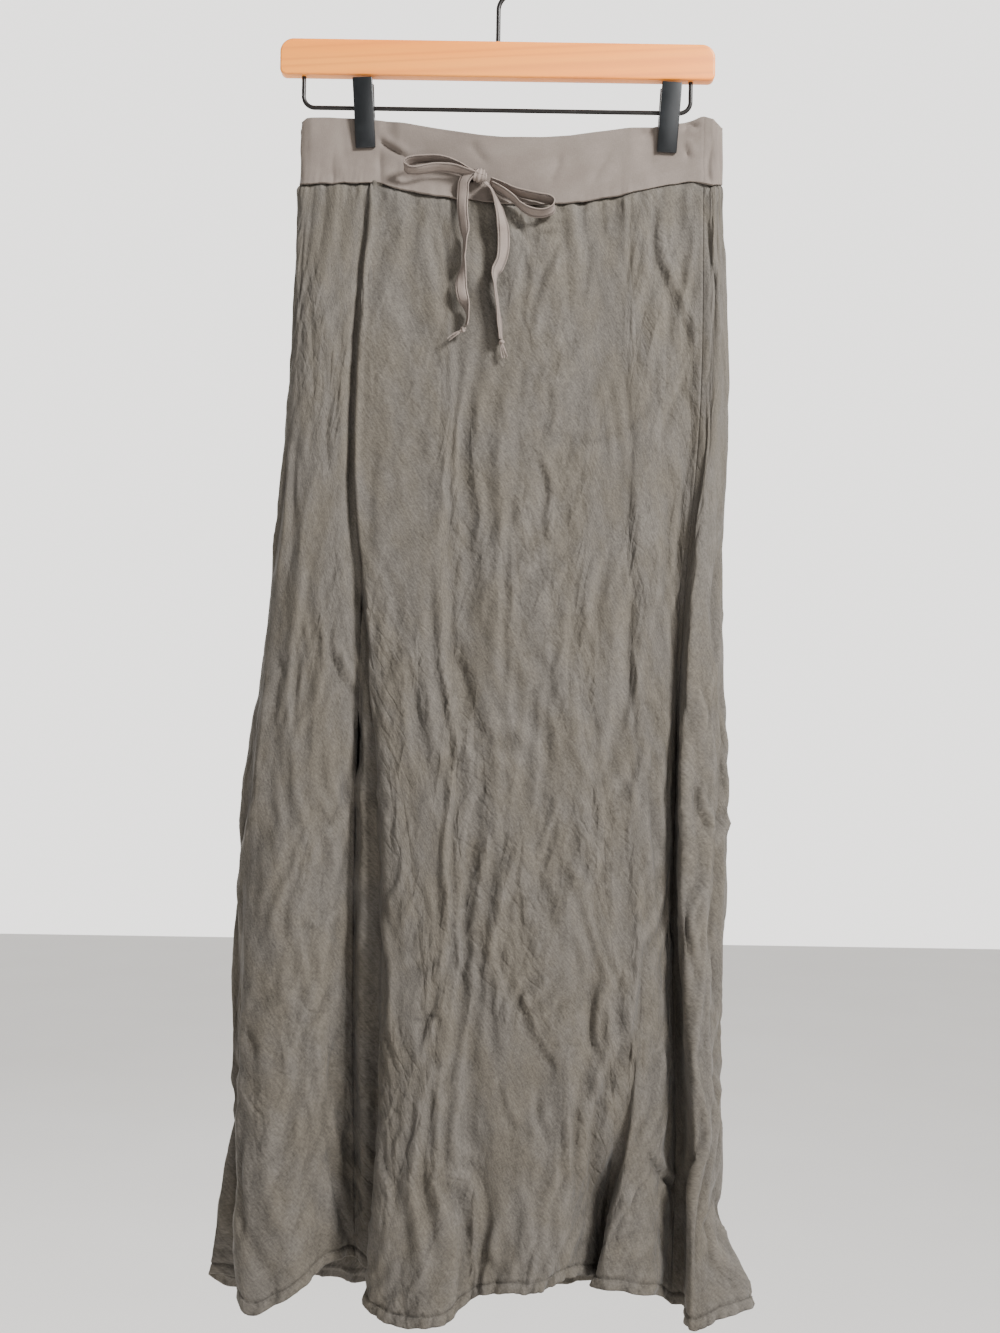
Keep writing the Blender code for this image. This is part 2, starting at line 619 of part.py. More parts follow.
def main():
    clear_scene()
    parts, cutters = new_collection("maxi skirt on a clip hanger"), new_collection("cutters")
    cloth = new_material("grey brown washed cloth", (0.20, 0.17, 0.145), 0.85)
    band_cloth = new_material("taupe band cloth", (0.32, 0.27, 0.235), 0.8)
    tape = new_material("taupe tape", (0.37, 0.31, 0.27), 0.8)
    wood = new_material("pale oiled wood", (0.80, 0.50, 0.28), 0.45)
    materials = {
        "wire": new_material("black coated wire", (0.02, 0.018, 0.017), 0.35, 0.6),
        "clip": new_material("black clip plastic", (0.02, 0.022, 0.025), 0.4),
    }
    skirt_panel("skirt_front_panel", 0, RIGHT_SEAM_PLACE, cloth, parts)
    skirt_panel("skirt_back_panel", RIGHT_SEAM_PLACE, ROUND, cloth, parts)
    band = waistband("waistband_front", 0, RIGHT_SEAM_PLACE, band_cloth, parts)
    buttonholes(band, cutters)
    waistband("waistband_back", RIGHT_SEAM_PLACE, ROUND, band_cloth, parts)
    knot("drawstring_knot", KNOT_AT, KNOT_SIZE, tape, parts)
    loop("drawstring_loop_left", LOOP_LEFT, LOOP_LEFT_WIDTH, tape, parts)
    loop("drawstring_loop_right", LOOP_RIGHT, LOOP_RIGHT_WIDTH, tape, parts)
    tail("drawstring_tail_left", TAIL_LEFT, tape, parts)
    tail("drawstring_tail_right", TAIL_RIGHT, tape, parts)
    tape_tip("drawstring_tip_left", TIP_LEFT, tape, parts)
    tape_tip("drawstring_tip_right", TIP_RIGHT, tape, parts)
    hanger_hook(materials["wire"], parts)
    hanger_bar(wood, parts, cutters)
    hanger_rail(materials["wire"], parts)
    clip("left", CLIP_LEFT_X, materials, parts, cutters)
    clip("right", CLIP_RIGHT_X, materials, parts, cutters)


main()
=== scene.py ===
import math
import random

import bmesh
import bpy
import numpy as np
from mathutils import Matrix, Vector


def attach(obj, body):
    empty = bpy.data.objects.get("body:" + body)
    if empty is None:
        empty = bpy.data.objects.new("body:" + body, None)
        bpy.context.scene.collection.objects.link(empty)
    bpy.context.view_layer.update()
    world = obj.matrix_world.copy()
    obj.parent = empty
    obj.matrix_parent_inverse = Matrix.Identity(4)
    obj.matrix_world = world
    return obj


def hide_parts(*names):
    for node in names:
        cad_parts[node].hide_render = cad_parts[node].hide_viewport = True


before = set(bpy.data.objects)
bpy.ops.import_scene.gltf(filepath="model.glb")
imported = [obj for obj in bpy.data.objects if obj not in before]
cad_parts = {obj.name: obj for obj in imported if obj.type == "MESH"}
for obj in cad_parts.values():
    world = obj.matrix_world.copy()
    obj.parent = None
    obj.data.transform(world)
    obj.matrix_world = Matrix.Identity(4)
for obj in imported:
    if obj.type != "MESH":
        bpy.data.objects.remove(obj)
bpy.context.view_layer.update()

MM = 0.001

# The front view: the size of its steps in the hanger's plane, its roll, the step at which the
# middle of the bar's top lies and that top's height, and where the camera stands
VIEW_STEP = 0.807 * MM
VIEW_ROLL = 0.0157
VIEW_CENTRE = (498, 44)
VIEW_TOP = -82 * MM
EYE = Vector((9.5, -1410, -584.4)) * MM
VIEW_TALL = 1333 * VIEW_STEP
SENSOR_TALL = 24
LAMP_AIM = Vector((0.0, 0.0, -0.6))
FLOOR_Z = -1.75
FLOOR_HALF = 6

# Driving sizes of the cloth
CLOTH_WALL = 0.75 * MM
BAND_WALL = 1.5 * MM
CLIP_LEFT_X = -107 * MM
CLIP_RIGHT_X = 139 * MM
PINCH_HALF = 14 * MM
PINCH_FADE = 18 * MM
FRONT_BELLY = 5.5 * MM
BACK_BELLY = 6 * MM
SKIRT_DROP = 887 * MM
HEM_TALL = 8.5 * MM
BAND_TALL = 51 * MM
BAND_STAND = 3.0 * MM
BAND_PINCHED = 1.05 * MM
SEAM_LAP = 1.0 * MM

# Stitches: how long each is, and from one to the next
SEAM_STITCH, SEAM_STEP = 2.5 * MM, 3.4 * MM
HEM_STITCH, HEM_STEP = 2.6 * MM, 3.6 * MM
SEAM_STITCH_IN = 6.2 * MM
SEAM_FIRST_ROW = 4
THREAD_R = 0.24 * MM

# How close the points of the cloth lie. The back's columns are twice as close on the strip that
# the front view shows, which is its first few fold lines.
PANEL_ROWS = 216
FRONT_CELL = 2.2 * MM
BACK_CELL = 2.7 * MM
BACK_STRIP_FOLDS = 6
BAND_FRONT_CELLS, BAND_BACK_CELLS = (210, 30), (170, 26)
UNSEWN = 1.0

# Heights down the skirt as shares of its length, one for each column of the fold table
STATIONS = (0.0, 0.19, 0.39, 0.61, 0.85, 1.0)

# One row for each fold line, round the skirt from the left side seam, past the left fold and
# across the front. x is the place across, and stand is how far it stands in front of the
# hanger's plane, both at the stations. hem is the height of the hem there. All in mm.
FRONT_FOLDS = (
    # name, x, stand, hem
    ("left_seam", (-121, -125, -133, -148, -152, -164), (-5, -8, -10, -11, -12, -14), -1084),
    ("left_back", (-146, -151, -162, -181, -184, -197), (-4, -6, -7, -8, -9, -12), -1093),
    ("left_fold", (-157, -165, -178, -199, -203, -219), (0, 0, 0, 2, 3, -4), -1080),
    ("left_tuck", (-155, -163, -176, -194, -187, -181), (3, 5, 7, 11, 12, 4), -1083),
    ("left_flute_rim", (-149, -156, -167, -184, -192, -188), (5, 9, 14, 22, 32, 40), -1080),
    ("left_flute", (-132, -137, -146, -156, -157, -152), (5, 11, 20, 31, 44, 53), -1081),
    ("left_shoulder", (-105, -115, -118, -124, -123, -119), (4, 11, 20, 22, 24, 24), -1060),
    ("left_valley", (-93, -101, -102, -105, -103, -100), (2.5, 9, 14, 8, 1, 0), -1065),
    ("inner_rim", (-91.5, -99, -98, -98, -94, -91), (3.3, 9.8, 17, 22, 16, 4), -1071),
    ("inner_valley", (-93, -101, -95, -85, -82, -80), (4.2, 10.8, 18.5, 20, 12, 5), -1075),
    ("centre_rim", (-100, -110, -98, -77, -79, -89), (5.5, 13, 24.5, 37, 48, 52), -1082),
    ("centre_left", (-69, -74, -67, -52, -49, -61), (6, 14, 30, 44, 60, 70), -1093),
    ("centre_fold", (-45, -42, -40, -33, -28, -32), (7, 15, 31, 46, 62, 73), -1090),
    ("centre_valley", (-26, -26, -22, -16, -8, -6), (6, 13, 27, 41, 54, 52), -1075),
    ("centre", (2, 2, 4, 10, 15, 12), (8, 17, 31, 45, 58, 60), -1070),
    ("centre_right", (30, 36, 36, 38, 44, 40), (7, 16, 30, 44, 57, 62), -1069),
    ("centre_shoulder", (62, 70, 68, 72, 76, 66), (6, 15, 28, 42, 53, 48), -1062),
    ("flute_valley", (98, 104, 104, 108, 112, 98), (4, 12, 24, 36, 41, 4), -1071),
    ("flute_rim", (110, 116, 119, 124, 119, 88), (5, 13, 25, 35, 46, 44), -1068),
    ("flute", (130, 136, 138, 141, 144, 122), (4, 11, 18, 21, 26, 48), -1072),
    ("right_wall", (150, 152, 149, 148, 151, 142), (3, 8, 10, 10, 13, 28), -1080),
    ("right_valley", (160, 161, 152, 151, 155, 149), (4, 8, 7, 3, 3, 12), -1090),
)
SIDE_FOLDS = (
    ("side_seam", (167, 167, 156, 152, 157, 155), (5, 10, 9, 2, 2, 6), -1096),
    ("seam_tuck", (172, 172, 157.5, 154, 162, 164), (5.5, 13, 14, 6, 7, 8), -1096),
    ("right_rim", (177, 179, 160, 155.5, 168, 166), (5, 14, 26, 35, 44, 48), -1098),
    ("right_flute", (178, 184, 178, 180, 183, 188), (4, 8, 16, 24, 32, 42), -1092),
    ("right_fold", (182, 190, 187, 195, 194, 226), (0, 0, 2, 4, 6, 8), -1093),
    ("right_back", (175, 180, 176, 182, 182, 202), (-4, -6, -8, -10, -11, -12), -1088),
)
BACK_FLUTES = 9
BACK_STAND = (-5, -9, -11, -13, -14, -14)
BACK_WAVE = (0.6, 1.5, 2.5, 3.5, 4.5, 6.0)
BACK_HEM = -1085

# The waistband's edges from the left fold to the right: place across, top edge and waist seam,
# in mm
BAND_EDGES = (
    # x, top, seam
    (-158, -148.5, -198.5), (-153, -145.0, -198.8), (-134, -144.4, -197.6), (-121, -144.4, -197.0),
    (-109, -144.8, -196.6), (-92, -146.0, -196.6), (-73, -148.4, -201.5), (-49, -152.5, -206.8),
    (-33, -155.0, -208.6), (-12, -158.2, -210.5), (5, -159.6, -211.8), (36, -159.2, -212.8),
    (60, -157.0, -210.4), (84, -152.8, -206.2), (104, -149.6, -202.4), (132, -147.0, -195.6),
    (150, -144.0, -192.6), (157, -142.0, -191.4), (166, -138.6, -192.8), (174, -141.0, -194.4),
    (181, -147.0, -192.8), (188, -150.0, -192.0),
)

# Creases of the skirt as the front shows them. The marks are read off the front view, in its
# steps across and down. depth and width are in mm, and a depth below nought is a ridge. lean is
# how much a ridge stands beside the crease, on its right where it is above nought.
SKIRT_CREASES = (
    # depth, width, lean, marks
    (2.6, 2.6, 0.9, (367, 203), (359, 285), (354, 359), (351, 467), (352, 520), (354, 562)),
    (1.6, 3.5, 0.5, (354, 562), (360, 600), (366, 650), (362, 700), (360, 750), (365, 800)),
    (1.0, 4.5, 0.4, (380, 432), (372, 480), (370, 515), (370, 560)),
    (1.3, 4.5, -0.5, (429, 221), (437, 260), (444, 300), (447, 335)),
    (1.6, 6.0, 0.3, (439, 205), (444, 240), (452, 290), (455, 330)),
    (1.8, 7.0, 0.0, (478, 205), (484, 240), (489, 280), (494, 320)),
    (1.6, 2.2, 0.6, (513, 214), (519, 226), (529, 238)),
    (1.7, 2.2, 0.7, (524, 237), (540, 234), (552, 230), (572, 228)),
    (1.4, 2.0, 0.6, (534, 214), (545, 219), (566, 221)),
    (1.4, 2.2, -0.6, (512, 222), (523, 229), (534, 231)),
    (1.2, 2.0, 0.6, (508, 208), (516, 217), (528, 222)),
    (1.3, 3.6, 0.5, (562, 234), (552, 260), (539, 288), (533, 317), (526, 359)),
    (1.0, 4.0, 0.4, (526, 359), (521, 385), (519, 410)),
    (0.9, 3.5, -0.4, (524, 240), (526, 262), (523, 300), (520, 325)),
    (0.8, 3.4, 0.4, (590, 237), (587, 276), (582, 310)),
    (1.0, 3.0, 0.5, (547, 380), (551, 400), (548, 425), (537, 452)),
    (1.7, 3.0, 0.8, (537, 452), (540, 466), (545, 480), (544, 518), (542, 545)),
    (0.8, 3.0, 0.4, (600, 202), (603, 218), (602, 240)),
    (0.9, 3.0, -0.4, (632, 235), (629, 262), (627, 290)),
    (0.8, 3.0, 0.4, (645, 228), (642, 250), (638, 280)),
    (0.6, 3.6, 0.0, (530, 388), (546, 432), (585, 442), (624, 431), (655, 402), (667, 378)),
    (2.0, 4.0, 0.8, (657, 196), (654, 230), (656, 258), (664, 276), (676, 304), (686, 333), (692, 362)),
    (1.2, 3.4, 0.5, (672, 282), (670, 310), (672, 340), (680, 370)),
    (1.4, 3.5, -0.6, (684, 352), (683, 387), (675, 403), (664, 435), (664, 455)),
    (1.3, 4.0, 0.6, (664, 455), (672, 475), (676, 500), (672, 530)),
    (1.4, 2.4, 0.6, (705, 199), (708, 240), (713, 270), (719, 298)),
    (0.6, 2.6, 0.3, (584, 467), (576, 490), (568, 515), (562, 537)),
    (0.7, 3.0, 0.3, (493, 380), (500, 410), (506, 450), (504, 480)),
    (0.8, 4.0, -0.4, (464, 400), (462, 450), (460, 500), (458, 520)),
    (1.5, 4.0, 0.5, (458, 520), (454, 560), (453, 618), (454, 655), (464, 679), (464, 745)),
    (1.5, 4.5, -0.5, (508, 540), (506, 605), (506, 650), (502, 731)),
    (1.5, 3.5, 0.7, (432, 562), (433, 618), (438, 683), (446, 715), (447, 745)),
    (1.8, 3.0, 0.8, (451, 762), (446, 774), (443, 813), (440, 845), (438, 880)),
    (1.3, 3.0, 0.7, (293, 627), (297, 666), (295, 702), (292, 740)),
    (0.9, 5.0, 0.4, (290, 740), (288, 790), (290, 860), (286, 900)),
    (1.9, 3.4, 0.8, (328, 627), (334, 660), (345, 683), (356, 692)),
    (1.3, 3.4, -0.5, (354, 712), (358, 748), (352, 790)),
    (1.0, 3.0, -0.5, (274, 660), (280, 668), (286, 680)),
    (1.5, 3.4, 0.7, (346, 770), (344, 803), (336, 818), (323, 830)),
    (1.3, 4.0, 0.5, (313, 813), (322, 840), (328, 861), (332, 900)),
    (0.8, 3.0, 0.4, (236, 690), (246, 730), (252, 770)),
    (1.1, 2.6, 0.6, (562, 640), (556, 652), (552, 666), (549, 682)),
    (1.0, 3.4, 0.4, (588, 592), (580, 618), (572, 650), (569, 700), (569, 760)),
    (1.2, 4.0, -0.5, (635, 585), (630, 620), (627, 650), (632, 702), (637, 740)),
    (1.2, 3.2, 0.6, (640, 700), (650, 704), (656, 722), (656, 748)),
    (1.3, 3.2, 0.8, (552, 793), (549, 813), (541, 839), (535, 866)),
    (1.4, 3.4, -0.6, (556, 812), (552, 835), (544, 862), (541, 873)),
    (1.2, 3.4, 0.5, (541, 873), (549, 900), (552, 925)),
    (0.9, 3.0, 0.4, (516, 650), (518, 665), (516, 690)),
    (1.0, 3.4, -0.4, (607, 832), (604, 860), (603, 890)),
    (1.4, 4.0, 0.6, (653, 754), (650, 796), (656, 832), (664, 862)),
    (0.9, 3.0, 0.5, (486, 780), (492, 810), (490, 850)),
    (1.6, 2.4, 0.6, (718, 552), (714, 600), (715, 640), (718, 683)),
    (1.7, 2.4, -0.7, (702, 683), (706, 700), (710, 716), (706, 740)),
    (2.4, 2.6, 0.8, (702, 780), (698, 803), (704, 820), (711, 838)),
    (1.2, 2.4, 0.6, (338, 902), (333, 910), (326, 917)),
    (1.3, 2.6, 0.7, (303, 924), (312, 928), (321, 933)),
    (0.8, 4.0, 0.3, (287, 891), (284, 935), (278, 975), (276, 1010)),
    (1.2, 4.0, 0.6, (331, 985), (322, 1010), (312, 1030)),
    (1.2, 5.0, 0.4, (334, 975), (337, 1030), (331, 1084), (320, 1134), (310, 1180)),
    (1.0, 4.5, 0.4, (302, 1070), (292, 1120), (284, 1160), (268, 1205)),
    (1.5, 3.2, 0.6, (331, 1134), (335, 1193), (345, 1229), (358, 1256)),
    (1.0, 4.0, 0.4, (309, 1196), (298, 1222), (289, 1248)),
    (1.2, 2.6, 0.7, (242, 1020), (250, 1036), (256, 1046), (254, 1066)),
    (1.6, 3.0, 0.7, (440, 978), (436, 1000), (424, 1030), (420, 1050)),
    (1.2, 3.0, -0.6, (420, 1000), (424, 1022), (421, 1040)),
    (1.1, 3.4, 0.6, (424, 1050), (436, 1064), (448, 1070)),
    (1.0, 3.0, 0.5, (480, 975), (482, 990), (480, 1005)),
    (1.5, 5.0, 0.5, (495, 948), (491, 985), (493, 1030), (498, 1076)),
    (1.3, 2.8, 0.7, (513, 902), (509, 912), (512, 925)),
    (1.5, 3.0, 0.7, (515, 990), (520, 1000), (528, 1025), (542, 1051), (552, 1066), (550, 1082)),
    (2.3, 2.8, 0.9, (596, 988), (593, 1005), (591, 1036), (599, 1060)),
    (1.0, 3.0, 0.5, (624, 1050), (632, 1058), (634, 1072)),
    (1.3, 3.2, 0.6, (498, 1076), (503, 1105), (511, 1124), (524, 1131)),
    (1.3, 2.8, -0.6, (540, 1088), (538, 1115), (545, 1136), (550, 1150)),
    (1.1, 3.2, 0.5, (533, 1158), (529, 1175), (527, 1195)),
    (1.4, 2.8, 0.7, (462, 1192), (464, 1210), (468, 1228), (466, 1246)),
    (1.5, 2.8, 0.7, (492, 1214), (488, 1232), (484, 1246), (490, 1262), (496, 1278)),
    (1.2, 2.8, 0.6, (520, 1216), (517, 1236), (517, 1256), (524, 1270)),
    (0.9, 3.0, 0.5, (433, 1215), (431, 1240), (424, 1262)),
    (1.0, 4.0, 0.4, (406, 1150), (398, 1180), (392, 1205)),
    (1.1, 3.4, 0.5, (414, 1100), (410, 1130), (402, 1158)),
    (0.8, 3.0, 0.4, (410, 1244), (400, 1268), (398, 1292)),
    (2.4, 2.6, 0.9, (648, 1150), (655, 1164), (666, 1180), (682, 1195)),
    (2.2, 2.6, -0.8, (642, 1184), (634, 1200), (634, 1216), (641, 1228)),
    (1.6, 2.6, 0.7, (634, 1206), (622, 1222), (613, 1238)),
    (1.0, 3.0, 0.5, (655, 1220), (662, 1240), (664, 1262)),
    (2.3, 2.6, 0.8, (702, 880), (692, 898), (685, 920), (688, 945), (698, 985)),
    (1.9, 2.4, -0.8, (712, 900), (710, 940), (714, 985), (718, 1020)),
    (2.6, 2.6, 0.9, (700, 1098), (702, 1120), (700, 1149), (688, 1170), (685, 1190), (690, 1230)),
    (2.2, 2.6, 0.8, (716, 1190), (722, 1212), (732, 1240), (742, 1262)),
    (1.6, 2.6, 0.6, (700, 1210), (708, 1240), (712, 1270)),
    (-1.9, 2.4, 0.0, (703, 900), (702, 977), (694, 1033), (695, 1073), (702, 1107), (702, 1157), (688, 1170)),
    (-1.2, 2.2, 0.0, (717, 900), (712, 940), (707, 1010), (713, 1100), (722, 1133), (726, 1153)),
    (-1.6, 2.4, 0.0, (708, 1207), (727, 1233), (740, 1270), (757, 1292)),
    (-1.2, 2.2, 0.0, (716, 627), (718, 660), (713, 680), (703, 713)),
    (-1.3, 2.2, 0.0, (722, 762), (728, 793), (727, 823), (717, 845), (721, 868)),
    (-1.1, 2.2, 0.0, (717, 300), (722, 345), (724, 380), (727, 400)),
    (-1.0, 2.2, 0.0, (640, 1183), (622, 1211), (600, 1250)),
    (-0.9, 2.4, 0.0, (306, 560), (300, 600), (298, 640)),
    (-1.1, 2.4, 0.0, (384, 1170), (390, 1200), (386, 1238)),
    (1.4, 2.6, 0.6, (412, 1010), (420, 1020), (436, 1016), (440, 1030)),
    (1.3, 2.6, 0.6, (396, 1190), (386, 1172), (382, 1150)),
    (1.3, 2.6, -0.6, (395, 1100), (398, 1128), (390, 1150)),
    (1.2, 2.6, 0.6, (400, 850), (396, 880), (386, 900), (392, 935)),
    (1.5, 2.6, 0.7, (377, 905), (382, 940), (386, 985), (382, 1040)),
    (1.2, 2.6, 0.6, (242, 1128), (240, 1170), (243, 1220), (240, 1262)),
    (1.3, 2.4, 0.6, (226, 1180), (219, 1215), (217, 1250)),
)
BAND_CREASES = (
    # depth, width, lean, marks
    (1.1, 2.6, 0.7, (377, 139), (386, 146), (396, 152), (411, 160)),
    (0.6, 4.0, 0.4, (378, 150), (380, 165), (380, 185)),
    (0.8, 3.0, 0.6, (681, 140), (685, 150), (690, 161)),
    (1.2, 2.4, -0.6, (682, 131), (690, 126), (700, 128)),
    (0.9, 4.0, -0.4, (656, 126), (650, 132), (638, 137)),
    (0.5, 4.5, 0.4, (470, 141), (476, 152), (490, 168)),
    (0.5, 3.5, 0.4, (560, 150), (556, 170), (548, 186)),
    (0.5, 4.0, 0.4, (612, 150), (600, 168), (590, 186)),
    (0.4, 4.0, 0.3, (334, 150), (332, 170), (336, 190)),
    (0.6, 3.0, 0.5, (712, 146), (708, 166), (710, 186)),
    (0.5, 4.0, 0.4, (430, 158), (420, 172), (400, 186)),
)

# Tape routes: x, stand and z of the middle of the tape in mm, and how far it is turned from
# lying flat to the viewer, in degrees
TAIL_LEFT = (
    (-17.5, 15.5, -189.2, 44), (-23, 15.5, -193.3, 29), (-25.7, 15.5, -198.1, 24), (-26.2, 14.5, -205.8, 10),
    (-26.5, 15, -217.1, 29), (-25.4, 15.5, -228.4, 37), (-24.3, 15.5, -236.4, 48), (-24, 15.5, -242.8, 69),
    (-24.3, 15.5, -250, 74), (-24.8, 16, -257.3, 76), (-25, 16, -263.7, 67), (-26.3, 16.5, -273.4, 42),
    (-26.3, 17, -283.1, 10), (-24.6, 17.5, -291.1, 24), (-22.1, 18, -297.5, 56), (-20.9, 18.5, -305.6, 76),
    (-22.2, 19, -313.7, 78),
)
TAIL_RIGHT = (
    (-7.7, 16, -198, -62), (-3.7, 16, -201.9, -67), (-0.8, 16.5, -207.6, -71), (1.7, 17, -214, -67),
    (3.8, 17, -220.4, -51), (5.5, 17, -228.3, -35), (6.7, 17, -236.3, -10), (7.1, 17.5, -245.2, -7),
    (6.9, 18, -254.1, -24), (5.6, 18, -260.5, -34), (3.2, 18.5, -266.2, -34), (0.9, 18.5, -271.8, -64),
    (1.1, 19, -279.9, -77), (2.9, 19.5, -292.7, -76), (5, 20, -308.7, -74), (6.6, 21, -324.8, -76),
)
LOOP_LEFT = (
    (-12.6, 13.3, -193.9), (-20.6, 13.8, -189.8), (-30.3, 14.3, -184.9), (-39.9, 14.8, -181), (-52.6, 15.8, -179.9),
    (-65.3, 16.3, -181.2), (-71.6, 16.8, -183.7), (-73.1, 17.3, -186.4), (-70.6, 17.8, -189.4), (-65.1, 17.8, -190.4),
    (-55.6, 17.3, -189), (-47.7, 16.8, -187.5), (-36.5, 16.3, -187.6), (-25.4, 15.8, -190), (-15, 14.8, -193.5),
)
LOOP_RIGHT = (
    (-4.6, 13.3, -196.9), (6.6, 13.8, -201.3), (19.5, 14.3, -206), (35.4, 15.3, -209.6), (43.4, 15.8, -211.6),
    (46.6, 16.8, -214.6), (45.8, 18.3, -219), (38.7, 18.8, -222.4), (29.2, 18.8, -221.8), (21.2, 18.3, -217.4),
    (14.7, 17.3, -211.3), (6.7, 16.3, -205.2), (-3.7, 14.8, -200.1),
)
LOOP_LEFT_WIDTH = Vector((0.03, 0.85, -0.52))
LOOP_RIGHT_WIDTH = Vector((0.05, 0.85, -0.52))
TAPE_WIDTH = 9.6 * MM
TAPE_WALL = 0.9 * MM
TIP_LEFT = ((-22.8, 19, -315.8), (-26.1, 19, -317.7), (-31.3, 19, -321), (-36, 19, -325))
TIP_RIGHT = ((6.6, 21, -325.5), (6.9, 21, -328), (8.3, 21, -333.5), (10.1, 21, -341.4))
KNOT_AT = Vector((-13.2, -14.6, -192.6)) * MM
KNOT_LEAN = 0.42
KNOT_HALF = (6.2, 3.6, 5.0)
KNOT_CORE_HALF = (5.6, 2.6, 3.4)
BUTTONHOLES = ((-4.6, -185.2), (-19.0, -193.0))
BUTTONHOLE_HALF = (0.9 * MM, 3.8 * MM)

# Driving sizes of the hanger. END_ROOM is how far a wire's end stops short of its hole's end.
HOOK_WIRE_R = 1.9 * MM
HOOK_R = 23 * MM
HOOK_BEND_R = 14 * MM
HOOK_STEM = 26.5 * MM
HOOK_STEM_IN_BAR = 18 * MM
HOOK_TIP_ANGLE = 205
BAR_LENGTH = 350 * MM
BAR_HEIGHT = 29 * MM
BAR_DEPTH = 13 * MM
BAR_TOP_CORNER = 11 * MM
BAR_FOOT_CORNER = 5 * MM
RAIL_WIRE_R = 1.8 * MM
RAIL_HALF = 156 * MM
RAIL_DROP = 25 * MM
RAIL_BEND_R = 9 * MM
RAIL_IN_BAR = 12 * MM
CLIP_WIDTH = 16 * MM
CLIP_ABOVE = 22.5 * MM
CLIP_BELOW = 33 * MM
JAW_WALL = 2.6 * MM
JAW_TOP_OPEN = 8.2 * MM
JAW_FOOT_OPEN = 2.15 * MM
EAR_WALL = 1.2 * MM
EAR_R = 3.5 * MM
CLIP_LEAN = 3.3
CLIP_PLAY = 0.3 * MM
END_ROOM = 0.6 * MM


# Materials

class Value:
    """A socket of a material's nodes. Arithmetic on it adds Math nodes."""

    def __init__(self, finish, socket):
        self.finish, self.socket = finish, socket

    def _math(self, operation, first, second=None):
        inputs = {0: first} if second is None else {0: first, 1: second}
        return self.finish.node("Math", {"operation": operation}, inputs)

    def __add__(self, other):
        return self._math("ADD", self, other)

    def __sub__(self, other):
        return self._math("SUBTRACT", self, other)

    def __rsub__(self, other):
        return self._math("SUBTRACT", other, self)

    def __mul__(self, other):
        return self._math("MULTIPLY", self, other)

    __radd__ = __add__
    __rmul__ = __mul__

    def power(self, other):
        return self._math("POWER", self, other)

    def between(self, low, high):
        """0 below low, 1 above high, and smooth between."""
        settings = {"interpolation_type": "SMOOTHSTEP"}
        return self.finish.node("MapRange", settings, {"Value": self, "From Min": low, "From Max": high})


